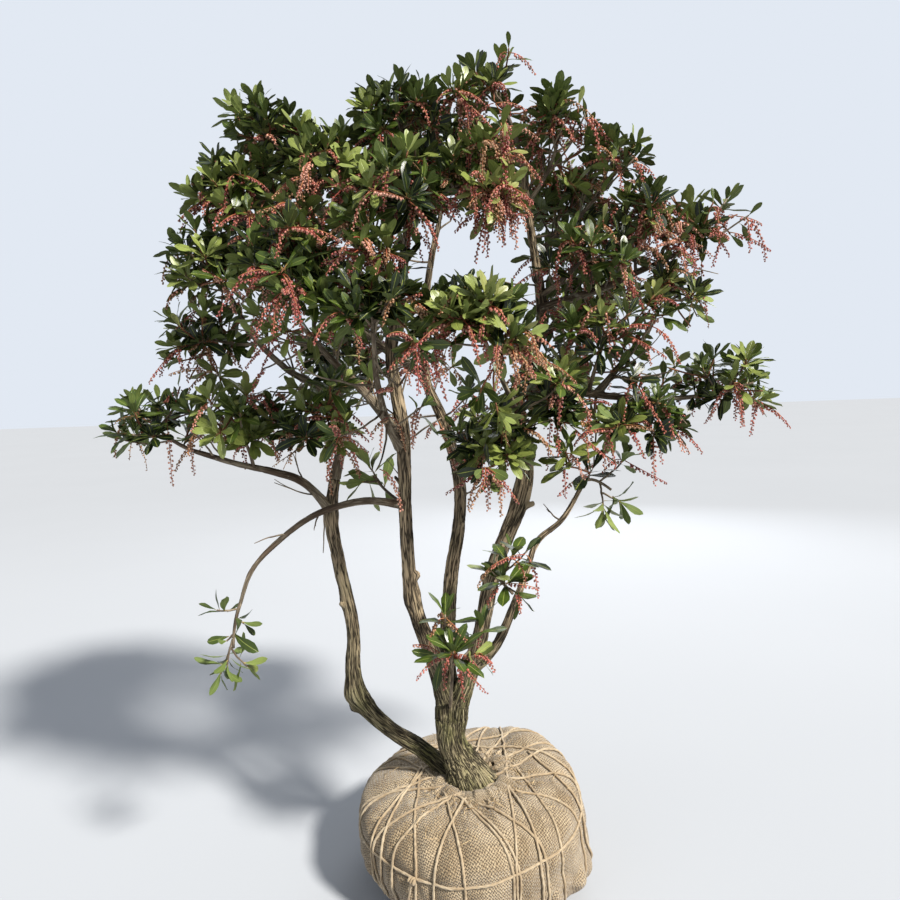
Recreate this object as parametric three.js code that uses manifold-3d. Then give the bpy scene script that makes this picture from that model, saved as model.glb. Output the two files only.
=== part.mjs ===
// A pieris shrub on its root ball: a burlap-wrapped ball of soil tied with twine, a short trunk that
// forks into stems, the boughs they carry, and masses of foliage with hanging flower racemes.
// Millimetres, +Z up. The origin is the middle of the flat underside of the root ball, and the crown
// is seen from its front along +Y, with +X to the right.
import * as THREE from 'three';
import { mergeVertices } from 'three/addons/utils/BufferGeometryUtils.js';
import Module from 'manifold-3d';

const wasm = await Module();
wasm.setup();

// ---------------------------------------------------------------- driving dimensions

const GAP = 0.3; // clearance between neighbouring solids

const BALL = {
  radius: 230, // at the waist
  footRadius: 140, // of the flat underside
  waist: 110, // height of the widest part
  height: 207,
  roundness: 3.4, // exponent of the shoulder's superellipse
  lean: 0.05, // how much fuller the right-hand shoulder is
  sides: 26,
  levels: 11,
};

const TWINE = {
  radius: 3,
  lift: 6.8, // from the ball's surface to the strand's middle
  strands: 5,
  passBy: 74, // how far from the trunk's foot the strands cross
  tuck: 0.13, // where on the ball's outline the strands end
  levels: 9,
  tieHeight: 150, // of the tie that runs round the ball's shoulder
  tieTilt: 20, // how much lower it lies at tieLow
  tieLow: -118 * Math.PI / 180,
};
const FLARE = { height: 60, depth: 0.16, lobes: 5 }; // root flare of the trunk's foot

const LEAF = { length: 112, width: 54, thickness: 3.6, widest: 0.6 };
const RACEME = { length: 105, width: 15, thickness: 11, widest: 0.35 };
const ROSETTE = { leaves: 5, innerTilt: 0.4, outerTilt: 1.4, budRadius: 7, budHeight: 8, apart: 13 };
const TWIG = { stemRadius: 6.5, tipRadius: 5.5, footRadius: 2.6, clearance: 3 };
const SHRINK = [1, 0.84, 0.68, 0.52]; // a leaf may be this much shorter to stay in its space
const SPACE_MARGIN = 0.02; // strip kept free along the border of two spaces, as a share of their size
const GOLDEN_ANGLE = Math.PI * (3 - Math.sqrt(5));

// Each limb: way points [x, y, z, radius] from its foot to its tip. A limb is cut clear of those
// listed before it, so it may start inside the one that carries it.
const LIMBS = {
  trunk: [[4, -28, 187, 43], [-4, -29, 214, 39], [-16, -29, 240, 33], [-29, -30, 266, 28],
    [-36, -30, 298, 27], [-36, -30, 335, 30], [-32, -29, 392, 38]],
  stem_left_centre: [[-44, -32, 372, 18.5], [-60, -38, 445, 16], [-99, -45, 584, 13.5],
    [-107, -45, 735, 12.8], [-106, -45, 908, 12.2], [-121, -45, 1053, 11.5], [-100, -38, 1180, 10],
    [-82, -26, 1300, 8], [-80, -20, 1430, 6]],
  stem_right_centre: [[-14, -31, 374, 19], [24, -26, 475, 16], [60, -12, 620, 15],
    [122, 10, 768, 16.5], [134, 18, 840, 15], [119, 30, 950, 14], [140, 36, 1015, 12.5],
    [174, 40, 1110, 11], [172, 40, 1190, 10], [156, 38, 1310, 8], [146, 30, 1400, 6]],
  stem_rear: [[-32, -14, 374, 16], [-38, 6, 440, 15], [-33, 26, 520, 14.5], [-23, 40, 605, 14],
    [-5, 53, 700, 13.5], [0, 62, 800, 12.5], [-30, 72, 925, 11], [-62, 80, 1009, 10],
    [-62, 92, 1130, 8.5], [-44, 104, 1250, 6.5], [-20, 122, 1350, 5]],
  stem_right_outer: [[12, -32, 436, 9.5], [58, -44, 483, 9], [100, -47, 572, 7.5],
    [125, -47, 638, 6.5], [146, -46, 690, 5.5], [192, -45, 728, 5], [236, -43, 798, 4]],
  stem_left_outer: [[-34, -6, 198, 18], [-100, 8, 250, 16], [-160, 10, 291, 14.5], [-222, 10, 362, 16],
    [-232, 12, 420, 14.5], [-229, 20, 500, 13], [-254, 30, 650, 12.2], [-264, 30, 745, 12],
    [-253, 30, 815, 11.5]],
  bough_drooping: [[-110, -50, 771, 7.5], [-180, -90, 787, 6.5], [-262, -111, 770, 6],
    [-323, -122, 732, 5], [-378, -136, 678, 4.5], [-405, -140, 612, 3.5]],
  bough_left_centre: [[-114, -48, 905, 9], [-171, -80, 988, 8], [-224, -104, 1047, 6.5],
    [-256, -124, 1090, 5]],
  bough_upper_left: [[-101, -38, 1172, 8], [-170, -28, 1252, 7], [-240, -12, 1330, 6],
    [-296, -4, 1412, 4.5]],
  bough_left_rise: [[-253, 30, 815, 11.5], [-236, 30, 900, 9.5], [-262, 30, 985, 8],
    [-340, 28, 1042, 7], [-402, 24, 1110, 6], [-428, 14, 1168, 4.5]],
  bough_left_low: [[-264, 30, 752, 9], [-313, 2, 815, 8], [-361, -20, 839, 7],
    [-428, -30, 858, 6], [-505, -30, 884, 4.5]],
  bough_right_high: [[174, 40, 1140, 9], [228, 20, 1156, 7.5], [290, 0, 1172, 6.5],
    [350, -10, 1196, 5.5], [420, -16, 1226, 4.5]],
  bough_right_low: [[134, 34, 1002, 10], [193, 2, 984, 8.5], [242, -18, 972, 7.5],
    [312, -30, 961, 6.5], [389, -32, 955, 5.5], [440, -32, 956, 4.5]],
  bough_right_fork: [[268, -24, 967, 6.5], [320, -30, 1029, 5.5], [364, -24, 1076, 5],
    [384, -18, 1112, 4]],
  bough_front: [[130, 16, 828, 7.5], [142, -30, 856, 6.5], [110, -110, 930, 5.5],
    [66, -190, 1018, 4.5]],
  bough_front_left: [[-111, -46, 880, 8], [-128, -90, 925, 7], [-138, -160, 1006, 5.5],
    [-136, -196, 1050, 4.5]],
  bough_back_left: [[-62, 82, 1018, 9], [-130, 140, 1066, 7.5], [-220, 178, 1140, 6],
    [-282, 216, 1218, 4.5]],
  bough_back_right: [[174, 42, 1090, 9], [206, 100, 1110, 7.5], [258, 178, 1128, 5]],
};
// Sides of a limb's tube and the length of its straight pieces, by the limb's radius at its foot.
const LIMB_DETAIL = [
  { from: 30, sides: 14, step: 48 },
  { from: 14, sides: 8, step: 76 },
  { from: 0, sides: 6, step: 76 },
];

// Each mass of foliage: the limb it grows from, how far along that limb its stem starts, the middle
// and the half sizes of the space that it fills, and its number of leafy shoots.
const MASSES = {
  foliage_left_tip: ['bough_left_low', 1, [-586, -30, 940], [116, 99, 96], 4],
  foliage_left_low: ['bough_left_low', 0.62, [-415, -60, 930], [111, 114, 102], 4],
  foliage_left_inner: ['bough_left_rise', 0.12, [-262, -80, 930], [106, 109, 106], 3],
  foliage_left_mid: ['bough_left_rise', 0.8, [-495, 40, 1108], [106, 111, 94], 3],
  foliage_left_outer: ['bough_left_rise', 1, [-460, -8, 1236], [116, 119, 102], 4],
  foliage_left_upper: ['bough_upper_left', 0.82, [-412, -20, 1366], [119, 111, 96], 4],
  foliage_upper_left: ['bough_upper_left', 1, [-340, 0, 1480], [111, 109, 102], 4],
  foliage_left_front: ['bough_left_centre', 1, [-275, -170, 1195], [114, 121, 111], 4],
  foliage_upper_mid: ['bough_upper_left', 0.5, [-220, -40, 1412], [114, 119, 111], 4],
  foliage_top_left: ['stem_left_centre', 1, [-92, -20, 1490], [119, 119, 113], 4],
  foliage_upper_centre: ['stem_left_centre', 0.83, [-100, -160, 1310], [109, 119, 111], 4],
  foliage_front_left: ['bough_front_left', 1, [-130, -260, 1115], [114, 111, 90], 4],
  foliage_front: ['bough_front', 1, [28, -270, 1095], [114, 111, 87], 4],
  foliage_centre_high: ['stem_left_centre', 0.9, [22, -100, 1350], [92, 111, 109], 4],
  foliage_top: ['stem_right_centre', 1, [86, 0, 1556], [87, 85, 89], 3],
  foliage_top_right: ['stem_right_centre', 0.95, [213, 0, 1466], [106, 111, 99], 4],
  foliage_right_peak: ['stem_right_centre', 0.86, [328, -4, 1404], [89, 92, 83], 2],
  foliage_right_rear: ['stem_right_centre', 0.84, [240, 140, 1370], [111, 114, 111], 3],
  foliage_right_shoulder: ['bough_right_high', 0.72, [362, -20, 1302], [102, 102, 83], 3],
  foliage_right_high: ['bough_right_high', 1, [492, -20, 1280], [99, 94, 92], 3],
  foliage_right_centre: ['stem_right_centre', 0.78, [250, -66, 1228], [96, 109, 94], 3],
  foliage_right_mid: ['bough_right_low', 0.42, [275, -90, 1078], [102, 111, 89], 4],
  foliage_right_fork: ['bough_right_fork', 1, [430, -16, 1150], [85, 85, 68], 2],
  foliage_centre_low: ['stem_right_centre', 0.6, [165, -104, 968], [102, 106, 94], 4],
  foliage_right_low: ['bough_right_low', 0.7, [345, -72, 912], [106, 104, 89], 4],
  foliage_right_tip: ['bough_right_low', 1, [524, -32, 975], [119, 106, 102], 4],
  foliage_centre_skirt: ['stem_right_centre', 0.48, [58, -112, 876], [102, 104, 87], 3],
  foliage_right_skirt: ['stem_right_outer', 1, [287, -56, 786], [94, 92, 126], 3],
  foliage_stem_spray: ['stem_right_centre', 0.24, [88, -122, 612], [74, 78, 96], 2],
  foliage_fork_spray: ['trunk', 0.8, [-22, -140, 540], [102, 87, 102], 2],
  foliage_stem_tuft: ['stem_left_centre', 0.38, [-170, -8, 822], [66, 66, 64], 2],
  foliage_droop_tip: ['bough_drooping', 1, [-420, -142, 536], [76, 72, 112], 3],
  foliage_back_left: ['bough_back_left', 1, [-352, 232, 1318], [138, 130, 132], 5],
  foliage_back_centre: ['stem_rear', 1, [-120, 214, 1448], [130, 130, 130], 5],
  foliage_back_right: ['bough_back_right', 1, [318, 236, 1182], [132, 130, 125], 5],
  foliage_back_low_left: ['bough_back_left', 0.4, [-258, 248, 1062], [132, 122, 118], 4],
  foliage_back_low_right: ['stem_rear', 0.52, [228, 246, 985], [124, 124, 114], 4],
  foliage_back_top: ['stem_right_centre', 0.98, [64, 176, 1486], [110, 116, 112], 4],
};

// ---------------------------------------------------------------- materials

const finish = (color, roughness) => new THREE.MeshStandardMaterial({ color, roughness, metalness: 0 });
const BURLAP = () => finish(0xb39568, 0.95);
const STRING = () => finish(0xa58a5c, 0.9);
const BARK = () => finish(0x5c5038, 0.9);
const GREEN = () => finish(0x33501f, 0.5);

// ---------------------------------------------------------------- solids

// Closed three.js geometry to a solid that can be joined and cut.
function toSolid(geometry) {
  geometry.deleteAttribute('normal');
  geometry.deleteAttribute('uv');
  const merged = mergeVertices(geometry, 1e-4);
  return new wasm.Manifold(new wasm.Mesh({
    numProp: 3,
    vertProperties: merged.attributes.position.array,
    triVerts: new Uint32Array(merged.index.array),
  }));
}

// The largest closed body of a solid. Loose scraps and sealed hollows are dropped.
function largestBody(solid) {
  const bodies = solid.decompose();
  return bodies.reduce((best, body) => (body.volume() > best.volume() ? body : best));
}

function toMesh(name, solid, material) {
  const { vertProperties, triVerts } = largestBody(solid).getMesh();
  const geometry = new THREE.BufferGeometry();
  geometry.setAttribute('position', new THREE.BufferAttribute(vertProperties, 3));
  geometry.setIndex(new THREE.BufferAttribute(triVerts, 1));
  geometry.computeVertexNormals();
  const mesh = new THREE.Mesh(geometry, material);
  mesh.name = name;
  return mesh;
}

// Moves every vertex of a geometry to move(vertex).
function reshape(geometry, move) {
  const position = geometry.attributes.position;
  const vertex = new THREE.Vector3();
  for (let i = 0; i < position.count; i += 1) {
    vertex.fromBufferAttribute(position, i);
    position.setXYZ(i, ...move(vertex).toArray());
  }
  return geometry;
}

// A closed tapering tube: a capped cylinder whose rings are set along a curve.
function tube(curve, radiusAt, sides, steps, extend = 0) {
  const frames = curve.computeFrenetFrames(steps, false);
  const cylinder = new THREE.CylinderGeometry(1, 1, 1, sides, steps);
  return toSolid(reshape(cylinder, (vertex) => {
    const ring = Math.round((0.5 - vertex.y) * steps);
    const t = ring / steps;
    const centre = curve.getPointAt(t);
    if (ring === 0) centre.addScaledVector(frames.tangents[0], -extend);
    if (ring === steps) centre.addScaledVector(frames.tangents[steps], extend);
    const around = Math.atan2(vertex.z, vertex.x);
    const out = Math.hypot(vertex.x, vertex.z) * radiusAt(t, around);
    return centre.addScaledVector(frames.normals[ring], out * Math.cos(around))
      .addScaledVector(frames.binormals[ring], out * Math.sin(around));
  }));
}

// ---------------------------------------------------------------- root ball and its lashing

// Outline of the ball: radius and height at u, from 0 at the rim of its foot to 1 on its axis.
function ballOutline(u) {
  if (u < 0.4) {
    const turn = (u / 0.4) * Math.PI / 2;
    return {
      r: BALL.footRadius + (BALL.radius - BALL.footRadius) * Math.sin(turn),
      z: BALL.waist * (1 - Math.cos(turn)),
    };
  }
  const turn = ((u - 0.4) / 0.6) * Math.PI / 2;
  const power = 2 / BALL.roundness;
  return {
    r: BALL.radius * Math.max(Math.cos(turn), 0) ** power,
    z: BALL.waist + (BALL.height - BALL.waist) * Math.sin(turn) ** power,
  };
}

// The wrapped soil has settled unevenly: its shoulder is fuller to the right.
function settle(vertex) {
  const share = vertex.x / BALL.radius;
  const upper = Math.max(0, vertex.z - BALL.waist) / (BALL.height - BALL.waist);
  vertex.z += BALL.height * BALL.lean * share * upper;
  return vertex;
}

function rootBall() {
  const profile = [new THREE.Vector2(0, 0)];
  for (let i = 0; i < BALL.levels; i += 1) {
    const { r, z } = ballOutline(i / BALL.levels);
    profile.push(new THREE.Vector2(r, z));
  }
  profile.push(new THREE.Vector2(0, BALL.height));
  const lathe = new THREE.LatheGeometry(profile, BALL.sides);
  lathe.rotateX(Math.PI / 2);
  return toSolid(reshape(lathe, settle));
}

// A point on the ball's surface, lifted out by the twine's clearance.
function overBall(x, y, z) {
  const outward = new THREE.Vector3(x, y, 0).normalize();
  const rise = (z - BALL.waist) / (z > BALL.waist ? BALL.height - BALL.waist : BALL.waist);
  const steep = rise > 0 ? rise ** 3 : rise;
  outward.multiplyScalar(Math.sqrt(1 - steep * steep)).setZ(steep);
  return settle(new THREE.Vector3(x, y, z)).addScaledVector(outward.normalize(), TWINE.lift);
}

// One strand runs from under the ball, over its shoulder, past the trunk's foot and down the far side.
function strand(angle) {
  const across = new THREE.Vector2(Math.cos(angle), Math.sin(angle));
  const along = new THREE.Vector2(-across.y, across.x);
  const half = [];
  for (let i = 0; i <= TWINE.levels; i += 1) {
    const { r, z } = ballOutline(THREE.MathUtils.lerp(TWINE.tuck, 0.98, i / TWINE.levels));
    if (r > TWINE.passBy) half.push({ run: Math.sqrt(r * r - TWINE.passBy ** 2), z });
  }
  const place = ({ run, z }, way) => {
    const flat = across.clone().multiplyScalar(TWINE.passBy).addScaledVector(along, way * run);
    return overBall(flat.x, flat.y, z);
  };
  const points = [...half.map((p) => place(p, -1)), ...half.reverse().map((p) => place(p, 1))];
  const curve = new THREE.CatmullRomCurve3(points);
  return tube(curve, () => TWINE.radius, 3, points.length);
}

// The tie is a closed ring round the ball's shoulder, lowest at the front.
function shoulderTie() {
  const thin = 0.01;
  const power = BALL.roundness;
  return toSolid(reshape(new THREE.TorusGeometry(1, thin, 3, 32), (vertex) => {
    const angle = Math.atan2(vertex.y, vertex.x);
    const out = (Math.hypot(vertex.x, vertex.y) - 1) / thin * TWINE.radius;
    const up = vertex.z / thin * TWINE.radius;
    const z = TWINE.tieHeight - TWINE.tieTilt * Math.cos(angle - TWINE.tieLow);
    const rise = (z - BALL.waist) / (BALL.height - BALL.waist);
    const r = BALL.radius * (1 - rise ** power) ** (1 / power);
    const along = new THREE.Vector3(Math.cos(angle), Math.sin(angle), 0);
    return overBall(r * along.x, r * along.y, z).addScaledVector(along, out).add(new THREE.Vector3(0, 0, up));
  }));
}

// ---------------------------------------------------------------- limbs

function makeLimb(name, wayPoints) {
  const curve = new THREE.CatmullRomCurve3(wayPoints.map(([x, y, z]) => new THREE.Vector3(x, y, z)));
  const last = wayPoints.length - 1;
  const lengths = curve.getLengths(200);
  const total = lengths[200];
  // Radius by length along the limb, between the way points' radii.
  const stops = wayPoints.map((_, i) => lengths[Math.round((i / last) * 200)] / total);
  const radiusAt = (t) => {
    const after = stops.findIndex((stop) => stop > t);
    if (after < 0) return wayPoints[last][3];
    const share = (t - stops[after - 1]) / (stops[after] - stops[after - 1]);
    return THREE.MathUtils.lerp(wayPoints[after - 1][3], wayPoints[after][3], share);
  };
  const { sides, step } = LIMB_DETAIL.find(({ from }) => wayPoints[0][3] >= from);
  return { name, curve, total, radiusAt, sides, steps: Math.max(3, Math.round(total / step)) };
}

// The solid of a limb, grown all over by extra. The trunk's foot swells into lobed root flare.
function limbSolid(limb, extra = 0) {
  const flared = limb.name === 'trunk';
  const radius = (t, around) => {
    const rise = Math.max(0, 1 - t * limb.total / FLARE.height);
    const lobe = flared ? 1 + FLARE.depth * rise * (1 + Math.cos(FLARE.lobes * around)) : 1;
    return limb.radiusAt(t) * lobe + extra;
  };
  return tube(limb.curve, radius, limb.sides, limb.steps, extra);
}

const limbs = Object.fromEntries(
  Object.entries(LIMBS).map(([name, wayPoints]) => [name, makeLimb(name, wayPoints)]),
);
const grown = Object.fromEntries(
  Object.entries(limbs).map(([name, limb]) => [name, limbSolid(limb, GAP)]),
);

// ---------------------------------------------------------------- growth rule of the foliage

// Park-Miller random numbers from 0 to 1.
function randomFrom(seed) {
  let state = (seed * 7919 + 104729) % 2147483647;
  return () => {
    state = (state * 48271) % 2147483647;
    return state / 2147483647;
  };
}

// How far a point is from a mass's middle: 0 there, 1 at the border of its space.
function depthIn(mass, point) {
  const [cx, cy, cz] = mass.centre;
  const [sx, sy, sz] = mass.size;
  return Math.hypot((point.x - cx) / sx, (point.y - cy) / sy, (point.z - cz) / sz);
}

// A space is the part of the mass's ellipsoid that is nearer to it than to any other mass.
function inSpace(mass, point) {
  const depth = depthIn(mass, point);
  if (depth > 1) return false;
  return masses.every((other) => other === mass || depthIn(other, point) > depth + SPACE_MARGIN);
}

// Straight pieces of every limb and twig, with the mass they belong to.
const wood = [];

function addWood(owner, curve, radiusAt, pieces) {
  const points = curve.getSpacedPoints(pieces);
  for (let i = 0; i < pieces; i += 1) {
    const thick = Math.max(radiusAt(i / pieces), radiusAt((i + 1) / pieces));
    wood.push({ owner, line: new THREE.Line3(points[i], points[i + 1]), radius: thick });
  }
}

function clearOfWood(owner, point, reach) {
  const nearest = new THREE.Vector3();
  return wood.every(({ owner: other, line, radius }) => {
    if (other === owner) return true;
    line.closestPointToPoint(point, true, nearest);
    return nearest.distanceTo(point) > radius + reach;
  });
}

// The stem of a mass goes on from its limb's tip along the limb, or leaves the side of it at a steep
// angle, and sweeps up to the mass's middle.
function massStem(mass) {
  const limb = limbs[mass.on];
  const foot = limb.curve.getPointAt(mass.at);
  const middle = new THREE.Vector3(...mass.centre);
  const lean = limb.curve.getTangentAt(mass.at);
  if (mass.at === 1) foot.addScaledVector(lean, GAP);
  const span = foot.distanceTo(middle);
  const straight = middle.clone().sub(foot).normalize();
  const aim = mass.at === 1 ? lean : straight.addScaledVector(lean, -0.5 * straight.dot(lean)).normalize();
  const bend = foot.clone().addScaledVector(aim, span * 0.45);
  return new THREE.QuadraticBezierCurve3(foot, bend, middle);
}

// Shoots spread from the stem to points spaced by the golden angle over the upper part of the space.
function shootCurves(mass, stem, random) {
  const curves = [];
  const turn = random() * Math.PI * 2;
  for (let k = 0; k < mass.shoots; k += 1) {
    const rise = 0.85 - 1.15 * (k / (mass.shoots - 1));
    const flat = Math.sqrt(1 - rise * rise);
    const angle = turn + k * (mass.shoots < 4 ? Math.PI * 2 / 3 : GOLDEN_ANGLE) + random() * 0.5;
    const reach = 0.46 + 0.12 * random();
    const [sx, sy, sz] = mass.size;
    const end = new THREE.Vector3(
      sx * flat * Math.cos(angle), sy * flat * Math.sin(angle), sz * rise,
    ).multiplyScalar(reach).add(new THREE.Vector3(...mass.centre));
    curves.push(new THREE.LineCurve3(stem.getPoint(0.76 + 0.2 * random()), end));
  }
  return curves;
}

// Points of a blade that are tested against spaces and wood.
function bladeSamples(base, direction, side, form, scale) {
  const length = form.length * scale;
  const half = form.width * scale / 2;
  const at = (along, out) => base.clone()
    .addScaledVector(direction, along * length).addScaledVector(side, out * half);
  return [at(1, 0), at(form.widest, 1), at(form.widest, -1), at(form.widest, 0), at(0.8, 0.5),
    at(0.8, -0.5), at(0.35, 0.6), at(0.35, -0.6), at(0.35, 0)];
}

// True where two blades of a mass would cross: their outer parts come too near to each other.
function crosses(outer, others) {
  return others.some((other) => outer.some((a) => other.some((b) => a.distanceTo(b) < ROSETTE.apart)));
}

// How far a blade must shrink to keep to its space, or undefined where it can't grow.
function fittedScale(mass, base, direction, side, form) {
  const reach = TWIG.clearance + form.thickness;
  const scale = SHRINK.find((share) => bladeSamples(base, direction, side, form, share)
    .every((point) => inSpace(mass, point) && clearOfWood(mass, point, reach)));
  if (!scale) return undefined;
  const outer = [0.5, 0.65, 0.8, 1].map((share) => (
    base.clone().addScaledVector(direction, form.length * scale * share)));
  if (crosses(outer, mass.outers)) return undefined;
  mass.outers.push(outer);
  return scale;
}

// A shoot with its rosette, as one closed body. Three rings of five points stand square to its axis:
// the foot in the stem, and the lower and upper ring of the bud at its tip. Between the bud's rings
// lie ten triangles: a leaf grows from each that points down, and a raceme hangs from one that
// points up. A leaf is drawn out from its triangle to left edge, keel and right edge, and a tip.
function shootWithRosette(mass, shoot) {
  const { random } = mass;
  const sides = ROSETTE.leaves;
  const axis = shoot.getTangent(1).add(new THREE.Vector3(0, 0, 0.7)).normalize();
  const across = new THREE.Vector3(0, 1, 0).cross(axis).normalize();
  const beside = new THREE.Vector3().crossVectors(axis, across);
  const turn = random() * Math.PI * 2;
  const outward = (step) => {
    const angle = turn + step * 2 * Math.PI / sides;
    return across.clone().multiplyScalar(Math.cos(angle)).addScaledVector(beside, Math.sin(angle));
  };
  const points = [];
  const faces = [];
  const ring = (centre, radius, offset) => Array.from({ length: sides }, (_, k) => (
    points.push(centre.clone().addScaledVector(outward(k + offset), radius)) - 1));
  const next = (k) => (k + 1) % sides;
  const tip = shoot.getPoint(1);
  const foot = ring(shoot.getPoint(0), TWIG.footRadius, 0);
  const lower = ring(tip.clone().addScaledVector(axis, -ROSETTE.budHeight), ROSETTE.budRadius, 0);
  const upper = ring(tip, ROSETTE.budRadius, -0.5);

  // Draws a blade out from the triangle root, or closes the triangle.
  const grow = (root, direction, side, form) => {
    const middle = root.reduce((sum, i) => sum.add(points[i]), new THREE.Vector3()).divideScalar(3);
    const scale = fittedScale(mass, middle, direction, side, form);
    if (!scale) {
      faces.push(root);
      return;
    }
    const face = new THREE.Vector3().crossVectors(direction, side);
    const [half, wide] = [form.width * scale / 2, form.widest * form.length * scale];
    const place = (along, out, rise) => points.push(middle.clone().addScaledVector(direction, along)
      .addScaledVector(side, out).addScaledVector(face, rise)) - 1;
    const keel = points[root[1]].clone().sub(middle).dot(face) < 0 ? -1 : 1;
    const far = [place(wide, -half, 0), place(wide, 0, keel * form.thickness), place(wide, half, 0)];
    const end = place(form.length * scale, 0, 0);
    root.forEach((near, i) => {
      const j = (i + 1) % 3;
      faces.push([near, root[j], far[j]], [near, far[j], far[i]], [far[i], far[j], end]);
    });
  };

  for (let k = 0; k < sides; k += 1) {
    const spread = ((2 * k) % sides) / (sides - 1);
    const tilt = THREE.MathUtils.lerp(ROSETTE.innerTilt, ROSETTE.outerTilt, spread);
    const direction = axis.clone().multiplyScalar(Math.cos(tilt))
      .addScaledVector(outward(k), Math.sin(tilt));
    const side = new THREE.Vector3().crossVectors(axis, outward(k));
    grow([upper[k], lower[k], upper[next(k)]], direction, side, LEAF);
    if (k === 0) {
      const hang = outward(k + 0.5);
      hang.z -= 0.9 + 0.6 * random();
      hang.normalize();
      const level = new THREE.Vector3().crossVectors(axis, hang).normalize();
      grow([lower[k], lower[next(k)], upper[next(k)]], hang, level, RACEME);
    } else {
      faces.push([lower[k], lower[next(k)], upper[next(k)]]);
    }
    faces.push([foot[k], foot[next(k)], lower[next(k)]], [foot[k], lower[next(k)], lower[k]]);
    if (k > 0 && k < sides - 1) {
      faces.push([upper[0], upper[k], upper[k + 1]], [foot[0], foot[k + 1], foot[k]]);
    }
  }
  const geometry = new THREE.BufferGeometry().setFromPoints(points);
  geometry.setIndex(faces.flat());
  return toSolid(geometry);
}

// ---------------------------------------------------------------- the shrub

const masses = Object.entries(MASSES).map(([name, [on, at, centre, size, shoots]]) => (
  { name, on, at, centre, size, shoots }));

function buildLimbs() {
  const meshes = [];
  const before = [];
  Object.values(limbs).forEach((limb) => {
    addWood(limb.name, limb.curve, limb.radiusAt, limb.steps * 2);
    const solid = before.reduce((rest, name) => rest.subtract(grown[name]), limbSolid(limb));
    before.push(limb.name);
    meshes.push(toMesh(limb.name, solid, BARK()));
  });
  return meshes;
}

function buildFoliage() {
  // All stems and shoots come first, so that every leaf can keep clear of them.
  masses.forEach((mass, index) => {
    mass.random = randomFrom(index + 1);
    mass.stem = massStem(mass);
    mass.taper = (t) => THREE.MathUtils.lerp(TWIG.stemRadius, TWIG.tipRadius, t);
    mass.shootLines = shootCurves(mass, mass.stem, mass.random);
  });
  masses.forEach((mass) => addWood(mass, mass.stem, mass.taper, 6));
  masses.forEach((mass) => {
    mass.kept = mass.shootLines.filter((shoot) => shoot.getSpacedPoints(5).slice(1)
      .every((point) => inSpace(mass, point) && clearOfWood(mass, point, TWIG.clearance + TWIG.tipRadius)));
    mass.kept.forEach((shoot) => addWood(mass, shoot, () => TWIG.tipRadius, 3));
  });
  return masses.map((mass) => {
    const parts = [tube(mass.stem, mass.taper, 3, 3)];
    mass.outers = [];
    mass.kept.forEach((shoot) => parts.push(shootWithRosette(mass, shoot)));
    const fused = wasm.Manifold.union(parts);
    return toMesh(mass.name, mass.at < 1 ? fused.subtract(grown[mass.on]) : fused, GREEN());
  });
}

function buildRootBall() {
  const { trunk, stem_left_outer: outer } = grown;
  const ball = rootBall().subtract(trunk).subtract(outer);
  const turns = Array.from({ length: TWINE.strands }, (_, k) => (
    strand((k + 0.35) * 2 * Math.PI / TWINE.strands)));
  const lashing = wasm.Manifold.union([shoulderTie(), ...turns]).subtract(trunk).subtract(outer);
  return [toMesh('root_ball', ball, BURLAP()), toMesh('ball_lashing', lashing, STRING())];
}

const shrub = new THREE.Group();
shrub.name = 'pieris_shrub';
shrub.add(...buildRootBall(), ...buildLimbs(), ...buildFoliage());

export default shrub;
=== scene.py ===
"""A pieris shrub on its burlap-wrapped root ball, with its bark, leaves and hanging racemes of buds.

Lengths in the tables of limbs and foliage are in millimetres, as in the solid model that they repeat.
All other lengths are in metres.
"""

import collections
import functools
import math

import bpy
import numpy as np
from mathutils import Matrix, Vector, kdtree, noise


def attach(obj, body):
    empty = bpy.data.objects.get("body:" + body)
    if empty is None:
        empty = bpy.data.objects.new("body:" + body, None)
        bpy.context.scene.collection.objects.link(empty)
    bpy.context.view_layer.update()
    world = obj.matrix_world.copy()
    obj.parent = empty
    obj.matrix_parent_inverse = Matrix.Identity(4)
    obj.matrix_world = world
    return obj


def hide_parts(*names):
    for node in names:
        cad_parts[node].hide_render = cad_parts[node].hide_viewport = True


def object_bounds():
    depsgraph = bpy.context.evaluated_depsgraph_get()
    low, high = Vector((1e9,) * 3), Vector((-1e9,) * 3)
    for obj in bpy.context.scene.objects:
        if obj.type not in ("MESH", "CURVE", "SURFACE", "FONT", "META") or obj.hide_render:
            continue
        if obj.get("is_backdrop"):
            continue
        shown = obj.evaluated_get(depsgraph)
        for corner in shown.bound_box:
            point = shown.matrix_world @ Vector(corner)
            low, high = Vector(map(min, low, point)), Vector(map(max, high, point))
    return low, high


bl_info = {
    "name": "Pieris Shrub",
    "version": (1, 0, 0),
    "blender": (4, 5, 0),
    "location": "View3D > Sidebar > Pieris",
    "description": "Builds a flowering pieris shrub on a burlap-wrapped root ball",
    "category": "Add Mesh",
}

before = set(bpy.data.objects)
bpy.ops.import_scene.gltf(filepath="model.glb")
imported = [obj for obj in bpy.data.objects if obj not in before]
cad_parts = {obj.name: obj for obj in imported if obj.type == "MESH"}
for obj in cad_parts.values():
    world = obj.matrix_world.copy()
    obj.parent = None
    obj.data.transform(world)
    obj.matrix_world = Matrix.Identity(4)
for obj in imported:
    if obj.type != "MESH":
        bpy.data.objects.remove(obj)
CAD_BOX = [np.array(corner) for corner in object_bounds()]


# ---------------------------------------------------------------- sizes

MM = 0.001
UP = np.array([0.0, 0.0, 1.0])
GOLDEN_ANGLE = math.pi * (3 - math.sqrt(5))

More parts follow.
